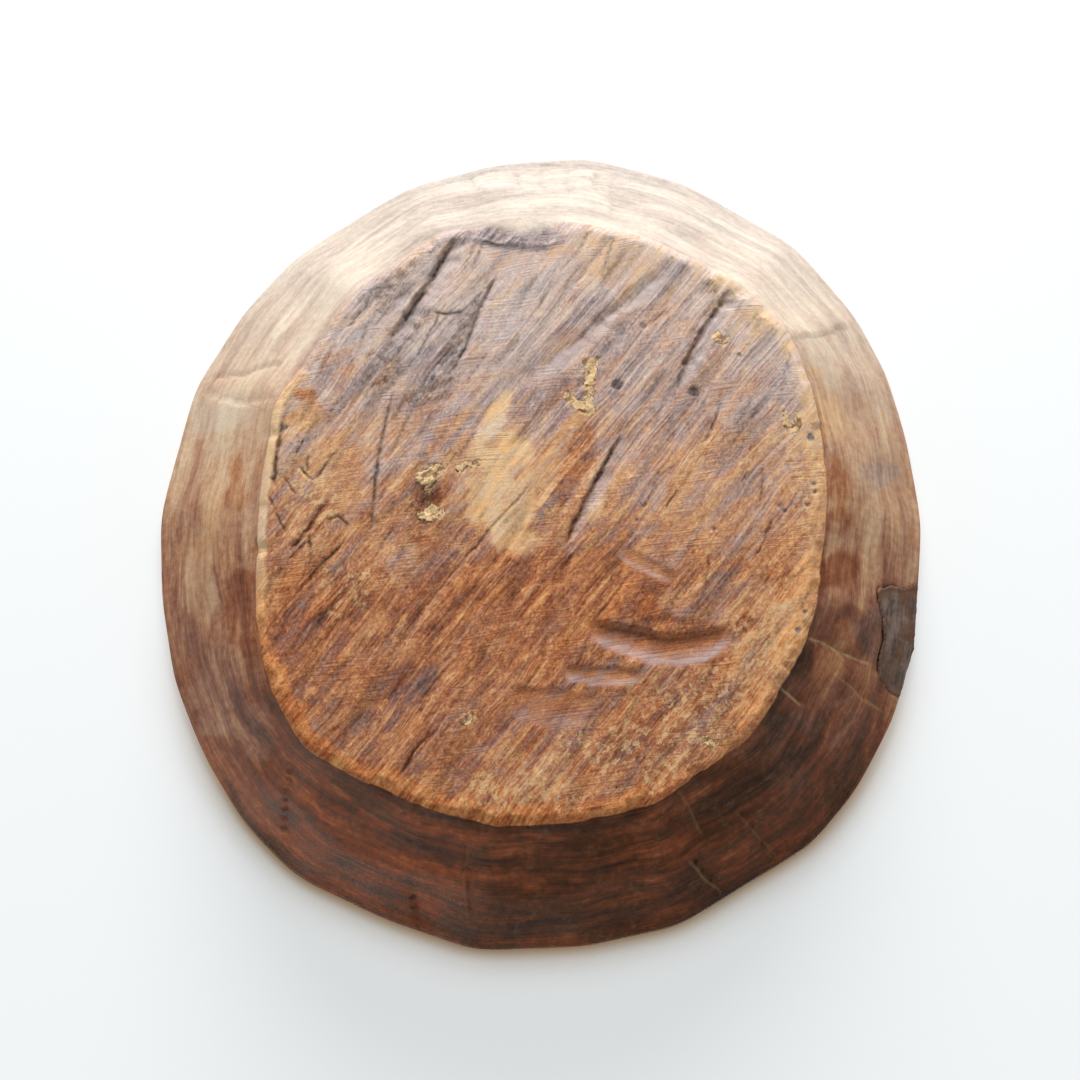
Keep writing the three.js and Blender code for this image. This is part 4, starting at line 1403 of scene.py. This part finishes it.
def build_bark(material):
    corners, normals, faces = remeshed("bark_remnant", BARK_VOXEL)
    along, down = corners[:, 1], corners[:, 2]
    furrow = fractal(along / 3.2, down / 16, SEEDS["furrow"], 4) - 0.5
    fray = fractal(along / 5, down / 5, SEEDS["bark"], 4) - 0.5
    out = corners * [1.0, 1.0, 0.0] / np.linalg.norm(corners[:, :2], axis=1)[:, None]
    aside = 1 - np.clip(np.abs((normals * out).sum(axis=1)) * 1.4, 0.0, 1.0)
    swell = FURROW_DEPTH * furrow - 0.4 + aside * (BARK_FRAY * fray + BARK_FRAY)
    corners = corners + normals * swell[:, None]
    piece = mesh_object("bark_skin", corners, faces, material)
    gap = np.minimum(np.minimum(along - along.min(), along.max() - along), down - down.min())
    attribute(piece, "rim", 1 - smoothstep(0, BARK_RIM, gap + 10 * fray))
    return piece


# Stage, light and camera

def stage_plane(name, height, facing, colour, glow, far_glow, tint, shadow_share):
    """A plane, glowing more far out, that shows only from its front and takes shadows but casts none."""
    half = STAGE_SIZE / 2
    corners = [(x * half, y * half, height) for x, y in ((-1, -1), (1, -1), (1, 1), (-1, 1))]
    mesh = bpy.data.meshes.new(name)
    mesh.from_pydata(corners, [], [(0, 1, 2, 3) if facing > 0 else (3, 2, 1, 0)])
    make = Nodes(bpy.data.materials.new(name))
    place = make.add("ShaderNodeTexCoord", output="Object")
    # Painted contact shadow: ambient occlusion, on the bowl's lower side only, turns the plane's colour
    # and glow towards a warm brown
    near = make.range(make.add("ShaderNodeSeparateXYZ", {0: place}, output="Y"), *CONTACT_SIDE)
    open_sky = make.add("ShaderNodeAmbientOcclusion", {"Distance": CONTACT_REACH}, output="AO")
    painted_shadow = make.times(make.range(open_sky, 1.0, 0.5, 0.0, shadow_share), near)
    paint = make.mix(painted_shadow, (*colour, 1.0), (*CONTACT_SHADOW_COLOUR, 1.0))
    shine = make.mix(painted_shadow, (*tint, 1.0), (*CONTACT_SHADOW_COLOUR, 1.0))
    far = make.range(make.vector("LENGTH", place, output="Value"), *FADE_REACH)
    paint = make.mix(far, paint, (*colour, 1.0) if far_glow == glow else (0.0, 0.0, 0.0, 1.0))
    strength = make.blend(far, glow, far_glow)
    make.feed(make.surface, {"Base Color": paint, "Roughness": 0.9, "Specular IOR Level": 0.0})
    make.feed(make.surface, {"Emission Color": shine, "Emission Strength": strength})
    back = make.add("ShaderNodeNewGeometry", output="Backfacing")
    clear = make.add("ShaderNodeBsdfTransparent")
    shader = make.add("ShaderNodeMixShader", {0: back, 1: make.surface.outputs[0], 2: clear})
    make.feed(make.tree.nodes["Material Output"], {"Surface": shader})
    mesh.materials.append(make.owner)
    plane = added(name, mesh)
    plane.visible_diffuse = False
    plane.visible_glossy = False
    plane.visible_transmission = False
    plane.visible_shadow = False


def build_world():
    """White where it is seen, dimmer where it lights the bowl."""
    world = bpy.data.worlds.new("studio")
    bpy.context.scene.world = world
    make = Nodes(world)
    rays = make.add("ShaderNodeLightPath").node.outputs
    seen = make.math("MAXIMUM", rays["Is Camera Ray"], rays["Is Glossy Ray"])
    seen = make.math("MAXIMUM", seen, rays["Is Transmission Ray"])
    level = make.range(seen, 0.0, 1.0, AMBIENT, 1.0)
    make.feed(make.tree.nodes["Background"], {"Color": (1.0, 1.0, 1.0, 1.0), "Strength": level})


def build_lamps():
    for name, direction, level, distance, size in LAMPS:
        data = bpy.data.lights.new(name, "AREA")
        data.shape = "DISK"
        data.size = size
        data.energy = level * math.pi ** 2 * distance ** 2
        lamp = added(name, data)
        towards = Vector(direction).normalized()
        lamp.location = towards * distance
        lamp.rotation_euler = towards.to_track_quat("Z", "Y").to_euler()
        lamp.visible_camera = False


def build_camera():
    data = bpy.data.cameras.new("camera")
    data.lens = LENS
    data.sensor_width = SENSOR
    camera = added("camera", data)
    axes = Matrix((CAMERA_RIGHT, -CAMERA_DOWN, -CAMERA_AHEAD)).transposed().to_4x4()
    camera.matrix_world = Matrix.Translation(Vector(CAMERA_PLACE * MM)) @ axes
    bpy.context.scene.camera = camera


def build_pieces():
    bowl = build_bowl(wood_material())
    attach(bowl, "root")
    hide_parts("bowl_body")

    bark = build_bark(bark_material())
    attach(bark, "root")
    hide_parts("bark_remnant")

    pale = filler_material()
    for seed, node in enumerate(FILLERS):
        putty = build_filler(node, SEEDS["filler"] + seed, pale)
        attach(putty, "root")
        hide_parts(node)


build_pieces()
stage_plane("floor", cad_box[0][2], 1, FLOOR_COLOUR, 0.0, 1.0, FLOOR_TINT, 0.0)
table_height = cad_box[1][2] + TABLE_GAP
stage_plane("table", table_height, -1, TABLE_COLOUR, TABLE_GLOW, TABLE_GLOW, TABLE_TINT, 1.0)
build_world()
build_lamps()
build_camera()
bpy.context.scene.view_settings.view_transform = "Standard"
